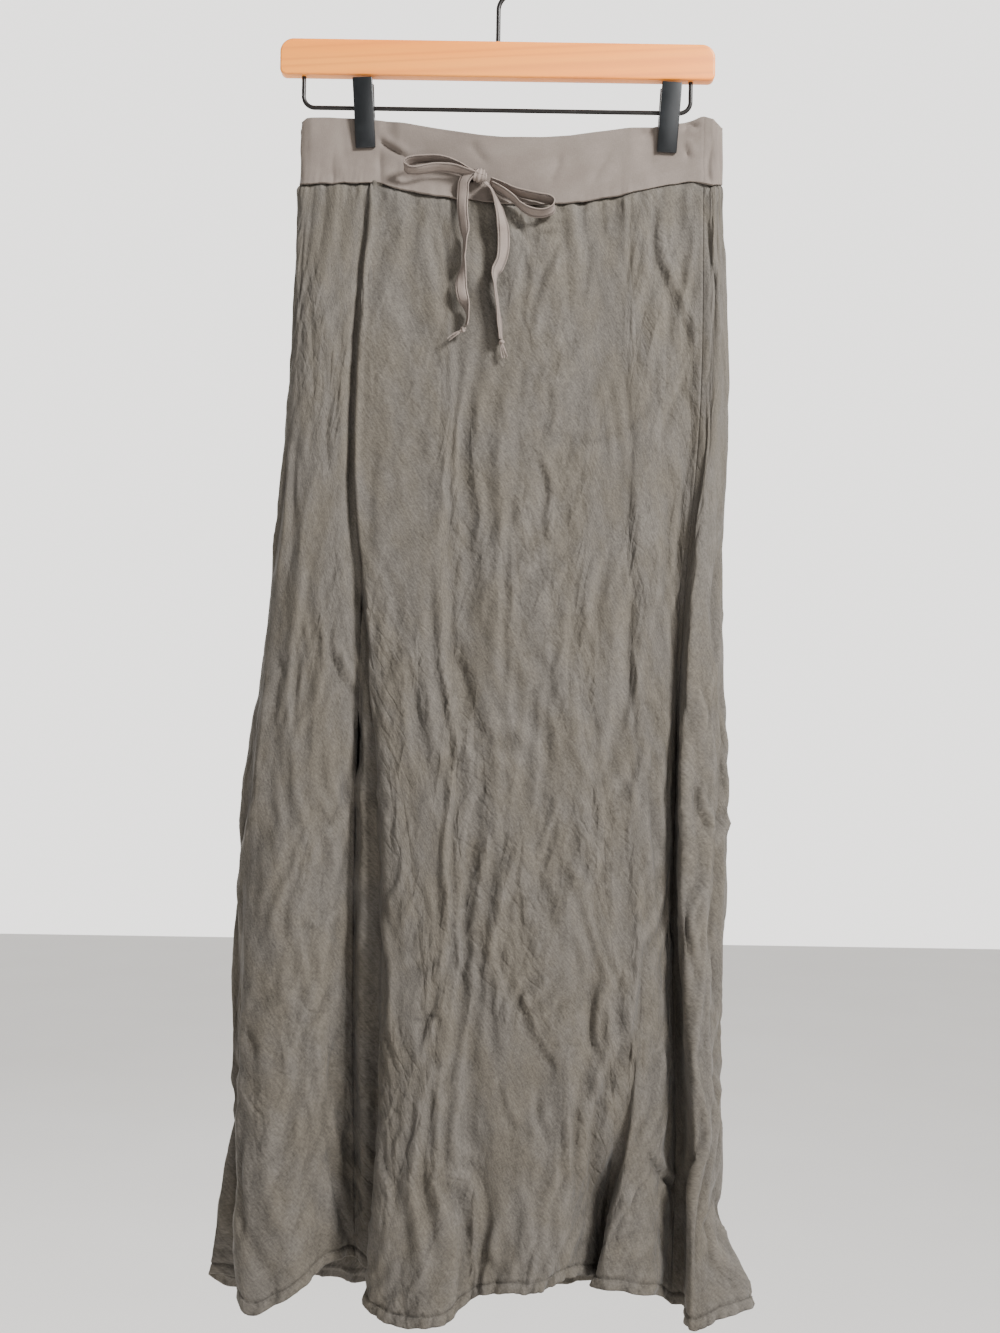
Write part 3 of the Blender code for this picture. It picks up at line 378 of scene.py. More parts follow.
class Finish:
    """A material, and the nodes that give its colour, gloss and relief."""

    def __init__(self, name):
        self.material = bpy.data.materials.new(name)
        self.material.use_nodes = True
        self.tree = self.material.node_tree
        self.tree.nodes.clear()

    def node(self, kind, settings, inputs, out=0):
        made = self.tree.nodes.new("ShaderNode" + kind)
        for key, value in settings.items():
            if key == "stops":
                for i, (place, shade) in enumerate(value):
                    stop = made.color_ramp.elements[i] if i < 2 else made.color_ramp.elements.new(place)
                    stop.position, stop.color = place, (*shade, 1)
            else:
                setattr(made, key, value)
        for key, value in inputs.items():
            if isinstance(value, Value):
                self.tree.links.new(value.socket, made.inputs[key])
            elif isinstance(value, tuple) and made.inputs[key].type == "RGBA":
                made.inputs[key].default_value = (*value, 1)
            else:
                made.inputs[key].default_value = value
        return Value(self, made.outputs[out]) if len(made.outputs) else None

    def place(self, uv=None):
        """Where on the surface: its own map in metres, or Object coordinates."""
        if uv:
            return self.node("UVMap", {"uv_map": uv}, {})
        return self.node("TexCoord", {}, {}, out="Object")

    def laid(self, place, size, turn=(0, 0, 0), seed=0.0):
        """The place as a pattern of that size reads it, in metres, turned by those degrees."""
        return self.node("Mapping", {"vector_type": "TEXTURE"}, {
            "Vector": place, "Location": (seed, seed, 0), "Rotation": tuple(math.radians(a) for a in turn),
            "Scale": size,
        })

    def noise(self, place, scale=1.0, detail=2.0, rough=0.5, out=0):
        inputs = {"Vector": place, "Scale": scale, "Detail": detail, "Roughness": rough}
        return self.node("TexNoise", {}, inputs, out)

    def grain(self, place, long, wide, angle=0.0, detail=2.0, rough=0.5, seed=0.0):
        """Noise from 0 to 1 whose spots are long by wide, in metres, with their length at an angle."""
        return self.noise(self.laid(place, (long, wide, 1.0), (0, 0, angle), seed), 1.0, detail, rough)

    def size_of(self, value):
        """The value without its sign."""
        return self.node("Math", {"operation": "ABSOLUTE"}, {0: value})

    def crease(self, place, long, wide, angle, seed):
        """Sharp valleys between soft crowns, from 0 in a valley to 1, long by wide in metres."""
        return self.size_of(self.grain(place, long, wide, angle, 1.5, 0.5, seed) - 0.5).between(0.0, 0.11)

    def facet(self, place, long, wide, angle, seed):
        """Flat faces that meet at sharp edges, rising from 0 at an edge, long by wide in metres."""
        turned = self.laid(place, (long, wide, 1.0), (0, 0, angle), seed)
        wander = self.noise(turned, 0.8, out=1)
        bent = self.node("VectorMath", {"operation": "MULTIPLY_ADD"}, {0: wander, 1: (1.5, 1.5, 0.0), 2: turned})
        settings = {"voronoi_dimensions": "2D", "feature": "DISTANCE_TO_EDGE"}
        return self.node("TexVoronoi", settings, {"Vector": bent, "Scale": 1.0})

    def shaded(self, colour, shade, darkest, lightest):
        """The colour times a grey that runs from darkest to lightest as shade goes from 0 to 1."""
        tint = self.node("ValToRGB", {"stops": ((0.0, darkest), (1.0, lightest))}, {"Fac": shade})
        return self.mix(1.0, colour, tint, "MULTIPLY")

    def mix(self, factor, a, b, blend="MIX"):
        settings = {"data_type": "RGBA", "blend_type": blend}
        return self.node("Mix", settings, {0: factor, 6: a, 7: b}, out=2)

    def bump(self, height, distance, strength=1.0, normal=None):
        inputs = {"Height": height, "Distance": distance, "Strength": strength}
        if normal:
            inputs["Normal"] = normal
        return self.node("Bump", {}, inputs)

    def done(self, **inputs):
        named = {key.replace("_", " "): value for key, value in inputs.items()}
        shader = self.node("BsdfPrincipled", {}, named)
        self.node("OutputMaterial", {}, {"Surface": shader})
        return self.material


def cloth_finish(name, warm, cool):
    """Washed linen: thick and thin threads woven on the slant, with small hard crinkles, with painted shade in its
    creases and painted light on its ridges.
    """
    f = Finish(name)
    at = f.place("cloth")
    slant = f.grain(at, 5 * MM, 1.4 * MM, 118, 2.0, 0.6)
    cross = f.grain(at, 1.9 * MM, 1.3 * MM, 30, 2.0, 0.6, seed=3.0)
    cloud = f.grain(at, 60 * MM, 34 * MM, 100, 3.0, 0.6, seed=1.0)
    patch = f.grain(at, 170 * MM, 90 * MM, 80, 2.0, 0.5, seed=6.0)
    threads = slant * 0.55 + cross * 0.45
    upright = f.crease(at, 95 * MM, 24 * MM, 96, 2.0)
    leaning = f.crease(at, 60 * MM, 19 * MM, 68, 5.0)
    short = f.crease(at, 28 * MM, 11 * MM, 122, 8.0)
    below = f.node("SeparateXYZ", {}, {0: at}, out=1) * -1.0
    calm = f.grain(at, 150 * MM, 70 * MM, 95, 1.0, 0.5, seed=9.0).between(0.38, 0.60) * 0.78 + 0.22
    grown = below.between(0.05, 0.70) * 0.45 + 0.50
    broad = f.facet(at, 110 * MM, 27 * MM, 95, 12.0)
    small = f.facet(at, 44 * MM, 13 * MM, 76, 15.0)
    crumple = upright * 0.30 + leaning * 0.24 + short * 0.20 + broad * 2.8 - small * 1.5
    tone = f.mix(cloud.between(0.36, 0.64), warm, cool)
    painted_shade_depth = f.node("Attribute", {"attribute_name": "painted_shade_depth"}, {}, out=2)
    sewn = SKIRT_DROP - HEM_TALL
    stitched = below.between(sewn - 1.2 * MM, sewn) - below.between(sewn, sewn + 1.0 * MM)
    # Painted shade and painted light: the colour is made darker in crease hollows and lighter on ridges, from the
    # depth of each point in its crease and from the valleys of the upright creases.
    shade = (threads - 0.5) * 1.7 - stitched * 0.16 - painted_shade_depth * 0.14
    shade = shade + (upright - 0.5) * 0.06 + (patch - 0.5) * 0.10 + 0.5
    colour = f.shaded(tone, shade, (0.45, 0.45, 0.45), (1.55, 1.55, 1.55))
    fine = f.bump(threads, 0.4 * MM, 1.0)
    soft = f.bump(crumple * calm * grown, 2.0 * MM, 1.0, fine)
    return f.done(Base_Color=colour, Roughness=cloud * 0.10 + 0.80, Normal=soft, Sheen_Weight=0.06,
                  Sheen_Roughness=0.5, Specular_IOR_Level=0.18)


def plain_finish(name, dark, light, stitched=None):
    """Smooth, close plain weave, as on the band and the tape. stitched is how far from a tape's
    middle its edges are sewn."""
    f = Finish(name)
    at = f.place("cloth")
    weft = f.grain(at, 2.4 * MM, 0.7 * MM, 0, 2.0, 0.6)
    warp = f.grain(at, 2.4 * MM, 0.7 * MM, 90, 2.0, 0.6, seed=4.0)
    cloud = f.grain(at, 40 * MM, 22 * MM, 10, 3.0, 0.6, seed=2.0)
    weave = weft * 0.5 + warp * 0.5
    tone = f.mix(cloud.between(0.3, 0.7), dark, light)
    shade = (weave - 0.5) * 0.45 + 0.5
    relief = weave * 0.18
    if stitched:
        across = f.node("SeparateXYZ", {}, {0: at}) - TAPE_WIDTH / 2
        away = f.size_of(across)
        seam = away.between(stitched - 0.9 * MM, stitched) - away.between(stitched, stitched + 0.7 * MM)
        shade = shade - seam * 0.20
        relief = relief - seam * 0.9
    colour = f.shaded(tone, shade, (0.45, 0.45, 0.45), (1.55, 1.54, 1.53))
    fine = f.bump(relief, 1.0 * MM, 1.0)
    return f.done(Base_Color=colour, Roughness=0.82, Normal=fine, Sheen_Weight=0.06, Sheen_Roughness=0.5,
                  Specular_IOR_Level=0.2)


def wood_finish():
    """Pale oiled wood: long fine grain, a little out of level, with darker growth lines."""
    f = Finish("pale oiled wood")
    at, level = f.place(), (0, -3.4, 0)
    warp = f.noise(f.laid(at, (0.42, 0.03, 0.03), level), 1.0, 3.0)
    rings = f.laid(at, (1.1, 0.02, 0.02), level)
    bands = f.node("TexWave", {"wave_type": "BANDS", "bands_direction": "Z", "wave_profile": "SIN"}, {
        "Vector": rings, "Scale": 0.75, "Distortion": 6.5,
        "Detail": 3.0, "Detail Scale": 1.3, "Detail Roughness": 0.55,
    })
    pores = f.noise(f.laid(at, (0.05, 0.0012, 0.0012), level), 1.0, 4.0, 0.65)
    tone = f.mix(warp.between(0.32, 0.68), (1.0, 0.29, 0.025), (1.0, 0.36, 0.05))
    lined = f.mix(bands.power(3.0) * 0.40, tone, (0.70, 0.19, 0.035))
    colour = f.mix((pores - 0.35) * 0.34, lined, (0.74, 0.24, 0.05))
    relief = f.bump(pores, 0.12 * MM, 0.6)
    return f.done(Base_Color=colour, Roughness=pores * 0.18 + 0.34, Normal=relief,
                  Coat_Weight=0.12, Coat_Roughness=0.35)


def coated_finish(name, colour, rough, relief, metallic=0.0):
    """Black coating or moulded plastic with a fine skin."""
    f = Finish(name)
    at = f.place()
    skin, wear = f.noise(at, 900.0), f.noise(at, 60.0, 4.0, 0.6)
    shade = f.mix(wear.between(0.42, 0.72) * 0.5, colour, tuple(c * 1.9 + 0.004 for c in colour))
    fine = f.bump(skin, relief, 0.7)
    return f.done(Base_Color=shade, Roughness=wear * 0.12 + rough, Normal=fine, Metallic=metallic)


def thread_finish(name, colour):
    f = Finish(name)
    twist = f.noise(f.place(), 2200.0, 1.0)
    shade = f.mix(twist.between(0.3, 0.7), tuple(c * 0.8 for c in colour), tuple(c * 1.15 for c in colour))
    return f.done(Base_Color=shade, Roughness=0.8, Specular_IOR_Level=0.25)


def floor_finish():
    f = Finish("pale studio floor")
    mottle = f.noise(f.place(), 3.0, 3.0)
    shade = f.mix(mottle, (0.78, 0.76, 0.74), (0.83, 0.82, 0.80))
    return f.done(Base_Color=shade, Roughness=0.75)


# Noise and curves on arrays

def lattice(column, row, seed):
    """A repeatable number from 0 to 1 for each point of a whole-number grid."""
    mixed = (column * 374761393 + row * 668265263 + seed * 974634777) & 0xFFFFFFFF
    mixed = ((mixed ^ (mixed >> 13)) * 1274126177) & 0xFFFFFFFF
    return ((mixed ^ (mixed >> 16)) & 0xFFFF) / 65535


def ripple(x, y, seed):
    """Smooth noise from about -1 to 1, one bump to a unit."""
    column, row = np.floor(x).astype(np.int64), np.floor(y).astype(np.int64)
    fx, fy = x - column, y - row
    ease_x, ease_y = (t * t * t * (t * (t * 6 - 15) + 10) for t in (fx, fy))

    def corner(i, j):
        angle = lattice(column + i, row + j, seed) * 2 * math.pi
        return np.cos(angle) * (fx - i) + np.sin(angle) * (fy - j)

    upper = corner(0, 0) * (1 - ease_x) + corner(1, 0) * ease_x
    lower = corner(0, 1) * (1 - ease_x) + corner(1, 1) * ease_x
    return (upper * (1 - ease_y) + lower * ease_y) * 1.6


def ridged(x, y, seed):
    """Noise with narrow valleys where cloth creases, from -1 in a valley to about 1."""
    return np.minimum(1.0, np.abs(ripple(x, y, seed)) * 2.6) * 1.4 - 0.8


def turned_by(across, down, angle):
    """Across and down as they read when turned by an angle from hanging straight."""
    turn = math.radians(angle)
    return across * math.cos(turn) + down * math.sin(turn), -across * math.sin(turn) + down * math.cos(turn)


def slanted(across, down, size_across, size_down, angle, seed, shape=ridged):
    """That noise with its length turned by an angle from hanging straight."""
    a, b = turned_by(across, down, angle)
    return shape(a / size_across + seed * 7.3, b / size_down + seed * 3.1, seed)


def along_only(across, size, seed):
    """Smooth noise that varies across the cloth alone."""
    return slanted(across, across * 0, size, 1.0, 0, seed, ripple)


def bump_at(at, middle, width):
    """1 at the middle, and less the further away, by its width."""
    return np.exp(-(((at - middle) / width) ** 2))


def through(points, knots, at):
    """A smooth curve through four points with those knots, read between the middle two."""
    level = list(points)
    for spans in (((0, 1), (1, 2), (2, 3)), ((0, 2), (1, 3)), ((1, 2),)):
        level = [
            level[i] + (level[i + 1] - level[i]) * ((at - knots[a]) / (knots[b] - knots[a]))
            for i, (a, b) in enumerate(spans)
        ]
    return level[0]


def smooth_route(points, steps):
    """The route's own points, with steps more read from a smooth curve between each two."""
    ends = [2 * points[0] - points[1], *points, 2 * points[-1] - points[-2]]
    made = []
    for i in range(len(points) - 1):
        four = ends[i:i + 4]
        knots = [0.0]
        for a, b in zip(four, four[1:]):
            knots.append(knots[-1] + math.sqrt((b - a).length))
        made += [through(four, knots, knots[1] + (knots[2] - knots[1]) * j / steps) for j in range(steps)]
    return [*made, points[-1]]


def smooth_edge(low, high, at):
    """0 below low, 1 above high, and smooth between, on arrays."""
    share = np.clip((at - low) / (high - low), 0, 1)
    return share * share * (3 - 2 * share)


# The skirt's form

def back_folds():
    right, left = SIDE_FOLDS[-1][1], FRONT_FOLDS[0][1]
    rows = []
    for i in range(1, BACK_FLUTES + 1):
        share, wave = i / (BACK_FLUTES + 1), math.cos(math.pi * i)
        x = tuple(r + (l - r) * share for r, l in zip(right, left))
        stand = tuple(s + wave * w for s, w in zip(BACK_STAND, BACK_WAVE))
        rows.append((f"back_flute_{i}", x, stand, BACK_HEM))
    return rows


FOLDS = (*FRONT_FOLDS, *SIDE_FOLDS, *back_folds())
SEAM_PLACE = len(FRONT_FOLDS)
# Where the front panel is cut in two meshes, inside its left fold, and the places between which
# the band runs straight past that fold
PLEAT_PLACE = 7
PLEAT_SPAN = (5, 11)
# Where a fold strays from its row of the table: how far down the skirt, over what share of its
# length, and how far it moves across and out, in mm
PULLS = (
    # fold, height, spread, across, out
    (2, 0.86, 0.03, 4, 0), (3, 0.86, 0.03, 3, 0),
    (25, 0.93, 0.045, -8, 0), (26, 0.93, 0.045, -13, 0), (27, 0.93, 0.045, -8, 0),
    (17, 0.925, 0.035, -3, -16), (18, 0.925, 0.04, 1, 3), (16, 0.93, 0.04, 3, -6),
)
# Where the hem hangs lower between two fold lines: place round, spread, and how far in mm
HEM_DIPS = ((4.45, 0.3, 10), (3.3, 0.4, 3), (9.4, 0.5, -3), (12.4, 0.4, 3), (14.5, 0.4, -2), (24.4, 0.4, 3))
ROUND = len(FOLDS)
FOLD_X = np.array([x for name, x, stand, hem in FOLDS]) * MM
FOLD_STAND = np.array([stand for name, x, stand, hem in FOLDS]) * MM
FOLD_HEM = np.array([hem for name, x, stand, hem in FOLDS]) * MM
EDGE_X, EDGE_TOP, EDGE_SEAM = np.array(BAND_EDGES).T * MM


def down_stations(values, share):
    """The fold table's columns read smoothly at a share of the skirt's length."""
    last = len(STATIONS) - 2
    span = next((i for i in range(last) if share < STATIONS[i + 1]), last)
    knots = [2 * STATIONS[0] - STATIONS[1], *STATIONS, 2 * STATIONS[-1] - STATIONS[-2]]
    columns = [values[:, i] for i in range(len(STATIONS))]
    padded = [2 * columns[0] - columns[1], *columns, 2 * columns[-1] - columns[-2]]
    return through(padded[span:span + 4], knots[span:span + 4], share)


def waist_z(x):
    return np.interp(x, EDGE_X, EDGE_SEAM)


def ring(share, places):
    """The cloth's middle line round the skirt at a share of the way down, at those places."""
    top = waist_z(FOLD_X[:, 0])
    points = np.stack([
        down_stations(FOLD_X, share), -down_stations(FOLD_STAND, share), top + (FOLD_HEM - top) * share,
    ], axis=1)
    for fold, height, spread, across, out in PULLS:
        near = math.exp(-(((share - height) / spread) ** 2)) * MM
        points[fold, 0] += across * near
        points[fold, 1] -= out * near
    number = np.floor(places).astype(int)
    four = [points[(number + i) % ROUND] for i in (-1, 0, 1, 2)]
    knots = [np.zeros((len(places), 1))]
    for a, b in zip(four, four[1:]):
        flat = np.hypot(b[:, 0] - a[:, 0], b[:, 1] - a[:, 1])
        knots.append(knots[-1] + np.sqrt(np.maximum(flat, 1e-5))[:, None])
    line = through(four, knots, knots[1] + (knots[2] - knots[1]) * (places - number)[:, None])
    for place, spread, drop in HEM_DIPS:
        line[:, 2] -= drop * MM * bump_at(places, place, spread) * share ** 14
    return line


def seam_wave(x):
    """How the waist seam wavers where the gathers pull on it, in metres."""
    short = ripple(x / (12 * MM) + 7.7, x * 0 + 0.4, 77) * 0.8
    long = ripple(x / (31 * MM), x * 0 + 0.7, 78) * 0.9
    return (short + long) * MM


def lay_out(first, last, columns):
    """Places of evenly spread columns between two fold lines, and how far across the cloth each
    lies."""
    fine = np.linspace(first, last, 40 * (last - first) + 1)
    shares = (0.05, 0.4, 0.7, 1.0)
    lengths = [np.linalg.norm(np.diff(ring(share, fine), axis=0), axis=1) for share in shares]
    across = np.concatenate([[0], np.cumsum(sum(lengths) / len(lengths))])
    even = np.linspace(0, across[-1], columns + 1)
    return np.interp(even, across, fine), even


def outward(grid):
    """The outward direction at each point of a grid whose rows run down and columns run round."""
    down, along = np.gradient(grid, axis=0), np.gradient(grid, axis=1)
    normal = np.cross(down, along)
    return normal / np.maximum(np.linalg.norm(normal, axis=-1, keepdims=True), 1e-12)


def in_view(points):
    """Where the front view shows points: across and down in its steps."""
    far = -EYE.y
    x = EYE.x + (points[..., 0] - EYE.x) * far / (far + points[..., 1])
    z = EYE.z + (points[..., 2] - EYE.z) * far / (far + points[..., 1])
    across, down = x / VIEW_STEP, (VIEW_TOP - z) / VIEW_STEP
    across, down = across - VIEW_ROLL * down, down + VIEW_ROLL * across
    return across + VIEW_CENTRE[0], down + VIEW_CENTRE[1]


def creased(points, creases, mirrored=False):
    """How far out each point moves for the listed creases, in metres."""
    across, down = in_view(points)
    if mirrored:
        across = 2 * VIEW_CENTRE[0] - across
    moved = np.zeros(across.shape)
    step = VIEW_STEP / MM
    for depth, width, lean, *marks in creases:
        line = smooth_route([Vector((x, y, 0)) for x, y in marks], 4)
        xs, ys = [p.x for p in line], [p.y for p in line]
        reach = 5 * width / step
        near = ((across > min(xs) - reach) & (across < max(xs) + reach)
                & (down > min(ys) - reach) & (down < max(ys) + reach))
        if not near.any():
            continue
        px, py = across[near], down[near]
        best = np.full(px.shape, 1e9)
        side, share = np.zeros(px.shape), np.zeros(px.shape)
        for i, (a, b) in enumerate(zip(line, line[1:])):
            dx, dy = b.x - a.x, b.y - a.y
            size = dx * dx + dy * dy
            t = np.clip(((px - a.x) * dx + (py - a.y) * dy) / size, 0, 1)
            ox, oy = px - a.x - t * dx, py - a.y - t * dy
            away = np.hypot(ox, oy) * step
            closer = away < best
            best = np.where(closer, away, best)
            side = np.where(closer, np.sign(ox * dy - oy * dx) * away, side)
            share = np.where(closer, (i + t) / (len(line) - 1), share)
        taper = smooth_edge(0, 0.28, share) * smooth_edge(0, 0.28, 1 - share) * 0.85 + 0.15
        trough = -np.exp(-((best / (0.85 * width)) ** 1.1)) * 1.35
        ridge = abs(lean) * np.exp(-((side * np.sign(lean) - 1.7 * width) / (1.3 * width)) ** 2)
        fade = np.exp(-(best / (4.2 * width)) ** 4)
        moved[near] += 1.5 * depth * MM * (trough + ridge) * taper * fade
    return moved


def hand_creased(grid, normal, creases):
    """The creases of the front on what faces the front, and the same ones mirrored on the back."""
    front = smooth_edge(-0.15, 0.25, -normal[..., 1])
    return creased(grid, creases) * front + creased(grid, creases, True) * (1 - front) * 0.8


def facets(across, down, size_across, size_down, angle, seed):
    """Flat strips that meet at sharp edges, as in cloth dried crumpled. They come and go in patches."""
    a, b = turned_by(across, down, angle)
    drift = ripple(a / (size_across * 2.6) + seed, b / size_down, seed) * 0.95
    drift = drift + ripple(a / (size_across * 1.1), b / (size_down * 0.45) + seed, seed + 1) * 0.28
    turned = a / size_across + drift
    fold = np.abs((turned - np.floor(turned)) * 2 - 1) * 2 - 1
    patch = smooth_edge(-0.30, 0.45, ripple(a / (size_across * 3.1), b / (size_down * 0.8) + 9.7, seed + 2))
    return fold * patch


def crinkled(across, down):
    """The crinkles of washed cloth, in metres out. They grow towards the hem."""
    bend = slanted(across, down, 70 * MM, 110 * MM, 10, 41, ripple) * 11 * MM
    across = across + bend
    grow = 0.62 + 0.55 * smooth_edge(0.08, 0.75, down / SKIRT_DROP)
    strips = facets(across, down, 30 * MM, 200 * MM, 2, 11) * 2.0
    slant = facets(across, down, 22 * MM, 95 * MM, -14, 14)
    other = facets(across, down, 24 * MM, 80 * MM, 19, 17) * 0.95
    short = slanted(across, down, 11 * MM, 38 * MM, -32, 20) * 0.34
    fine = slanted(across, down, 7.5 * MM, 34 * MM, 14, 24, ripple) * 0.20
    swell = slanted(across, down, 46 * MM, 210 * MM, 5, 16, ripple) * 2.0
    return (strips + slant + other + short + fine + swell) * grow * MM


def gathered(across, down):
    """Puckers under the waist seam, in metres out."""
    much = 0.75 + 0.45 * along_only(across, 55 * MM, 26)
    tight = slanted(across, down, 8.5 * MM, 50 * MM, 4, 21) * 2.0 * np.exp(-down / (11 * MM))
    loose = slanted(across, down, 12 * MM, 60 * MM, -6, 22, ripple) * 2.6 * np.exp(-down / (19 * MM))
    wide = slanted(across, down, 30 * MM, 160 * MM, 0, 23, ripple) * 1.8 * np.exp(-down / (75 * MM))
    under = smooth_edge(0.5 * MM, 6 * MM, down)
    tuck = -1.6 * bump_at(down, 0, 2.6 * MM)
    puff = 1.1 * bump_at(down, 8 * MM, 8 * MM)
    return ((tight + loose + wide) * under * much + tuck + puff) * MM


def hemmed(across, down):
    """The narrow turned hem: a little thicker, and roped on the slant by its stitches."""
    above = SKIRT_DROP - down
    on = smooth_edge(HEM_TALL + 1.2 * MM, HEM_TALL - 0.6 * MM, above)
    rope = slanted(across, down, 5.6 * MM, 16 * MM, 38, 31, ripple)
    pull = -1.5 * bump_at(above, HEM_TALL, 1.5 * MM)
    drawn = slanted(across, down, 9 * MM, 50 * MM, 8, 32) * 1.3 * np.exp(-np.maximum(above, 0) / (18 * MM))
    return (on * (0.5 + rope) + pull + drawn) * MM


# Meshes

parts = bpy.data.collections.new("skirt looks")
bpy.context.scene.collection.children.link(parts)


def add_object(name, data, material):
    made = bpy.data.objects.new(name, data)
    parts.objects.link(made)
    data.materials.clear()
    data.materials.append(material)
    return made


def add_mesh(name, bm, material, angle=40):
    """The bmesh as an object with its normals facing out, smooth but for its sharp edges."""
    bmesh.ops.recalc_face_normals(bm, faces=bm.faces)
    mesh = bpy.data.meshes.new(name)
    bm.to_mesh(mesh)
    bm.free()
    mesh.shade_smooth()
    if angle:
        mesh.set_sharp_from_angle(angle=math.radians(angle))
    return add_object(name, mesh, material)


def hollows(out, over=(4, 3)):
    """How deep each point of a relief lies under the cloth around it, from -1 on a ridge to 1 in a
    valley. The cloth's colour uses it to paint shade in valleys and light on ridges."""
    around = out
    for axis, cells in enumerate(over):
        sides = [(cells, cells) if i == axis else (0, 0) for i in (0, 1)]
        run = np.cumsum(np.pad(around, sides, mode="edge"), axis=axis)
        count = run.shape[axis] - 2 * cells
        before, after = (np.take(run, range(start, start + count), axis) for start in (0, 2 * cells))
        around = (after - before) / (2 * cells)
    return np.clip((around - out) / (0.9 * MM), -1, 1)


def add_sheet(name, grid, across, down, material, wall, hole=None, painted_shade_depth=None):
    """A grid of cloth points as a thin shell. Its map holds how far across and down each point is,
    painted_shade_depth how deep each lies in a crease, from which the cloth's colour paints shade
    in creases and light on ridges, and hole says which faces are cut out."""
    rows, columns = grid.shape[0] - 1, grid.shape[1] - 1
    bm = bmesh.new()
    bmesh.ops.create_grid(bm, x_segments=columns, y_segments=rows, size=1)
    spots = np.array([v.co[:2] for v in bm.verts])
    column = np.rint((spots[:, 0] + 1) / 2 * columns).astype(int)
    row = rows - np.rint((spots[:, 1] + 1) / 2 * rows).astype(int)
    for vertex, place in zip(bm.verts, grid[row, column]):
        vertex.co = place
    if painted_shade_depth is not None:
        depth = bm.verts.layers.float.new("painted_shade_depth")
        for vertex, value in zip(bm.verts, painted_shade_depth[row, column]):
            vertex[depth] = value
    layer = bm.loops.layers.uv.new("cloth")
    flat = np.stack(np.broadcast_arrays(across, -down), axis=-1)[row, column]
    for face in bm.faces:
        for loop in face.loops:
            loop[layer].uv = flat[loop.vert.index]
    if hole:
        gone = [face for face in bm.faces if hole(face.calc_center_median())]
        bmesh.ops.delete(bm, geom=gone, context="FACES")
    mesh = bpy.data.meshes.new(name)
    bm.to_mesh(mesh)
    bm.free()
    mesh.shade_smooth()
    made = add_object(name, mesh, material)
    thick = made.modifiers.new("cloth wall", "SOLIDIFY")
    thick.thickness, thick.offset = wall, 0
    thick.use_even_offset = False
    return made


def keep(piece, slot, *nodes):
    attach(piece, "root")
    if nodes:
        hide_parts(*nodes)
    return piece


def stitches(name, places, material, length):
    """A run of thread stitches, one at each place: its middle, direction and outward direction."""
    bm = bmesh.new()
    for middle, along, out in places:
        along = Vector(along).normalized()
        out = Vector(out).normalized()
        turned = Matrix((along, out.cross(along).normalized(), out)).transposed().to_4x4()
        shape = Matrix.Diagonal((length / 2, THREAD_R, THREAD_R, 1)) @ Matrix.Rotation(math.pi / 2, 4, "Y")
        place = Matrix.Translation(Vector(middle)) @ turned @ shape
        bmesh.ops.create_uvsphere(bm, u_segments=6, v_segments=4, radius=1, matrix=place)
    return add_mesh(name, bm, material, None)


def run_along(line, out, spacing):
    """Evenly spaced places along a line of points, lifted off the cloth."""
    steps = np.linalg.norm(np.diff(line, axis=0), axis=1)
    length = np.concatenate([[0], np.cumsum(steps)])
    marks = np.arange(spacing / 2, length[-1], spacing)
    middle, ahead, face = (
        np.stack([np.interp(at, length, column) for column in values.T], axis=1)
        for at, values in ((marks, line), (marks + spacing * 0.3, line), (marks, out))
    )
    return [(m + o * (CLOTH_WALL / 2), a - m + 1e-9, o) for m, a, o in zip(middle, ahead, face)]


def row_shares(rows):
    """How far down the skirt its rows of points lie: closer together under the waist and at the
    hem."""
    top, foot = np.linspace(0, 0.012, 9), np.linspace(0.984, 1, 11)
    return np.concatenate([top, np.linspace(0.012, 0.984, rows - 17)[1:], foot[1:]])


def make_panel(name, first, last, cell, across_start, seams, fine=None):
    """A stretch of skirt cloth: its folds, then gathers, creases, crinkles and hem. seams says
    which sides are sewn. fine is the place up to which its columns are twice as close."""
    count = round(lay_out(first, last, 10)[1][-1] / cell)
    places, across = lay_out(first, last, count)
    if fine:
        part = int(np.searchsorted(places, fine))
        marks = np.concatenate([np.arange(0, 2 * part) / 2, np.arange(part, count + 1)])
        places, across = (np.interp(marks, np.arange(count + 1), line) for line in (places, across))
    shares = row_shares(PANEL_ROWS)
    grid = np.stack([ring(share, places) for share in shares])
    shares = shares[:, None]
    grid[..., 2] += seam_wave(grid[..., 0]) * smooth_edge(0.03, 0, shares)
    down, flat = shares * SKIRT_DROP, across[None, :] + across_start
    normal = outward(grid)
    drift = along_only(flat, 42 * MM, 51) * 2.6 * MM + along_only(flat, 13 * MM, 52) * 1.0 * MM
    grid[..., 2] += drift * smooth_edge(0.86, 1.0, shares)
    left, right = (side + (0 if sewn else UNSEWN) for side, sewn in zip((across, across[-1] - across), seams))
    free = smooth_edge(0, 9 * MM, np.minimum(left, right)[None, :]) * 0.85 + 0.15
    out = crinkled(flat, down) * free + gathered(flat, down) * free
    out += hemmed(flat, down) + hand_creased(grid, normal, SKIRT_CREASES) * free
    grid = grid + normal * out[..., None]
    # The depth of each point in its crease goes to the cloth's colour as painted shade and painted light.
    made = add_sheet(name, grid, flat, down, skirt_cloth, CLOTH_WALL, painted_shade_depth=hollows(out))
    return made, grid, outward(grid), across


def from_clip(x):
    """How far across the nearer clip is."""
    return np.minimum(np.abs(x - CLIP_LEFT_X), np.abs(x - CLIP_RIGHT_X))


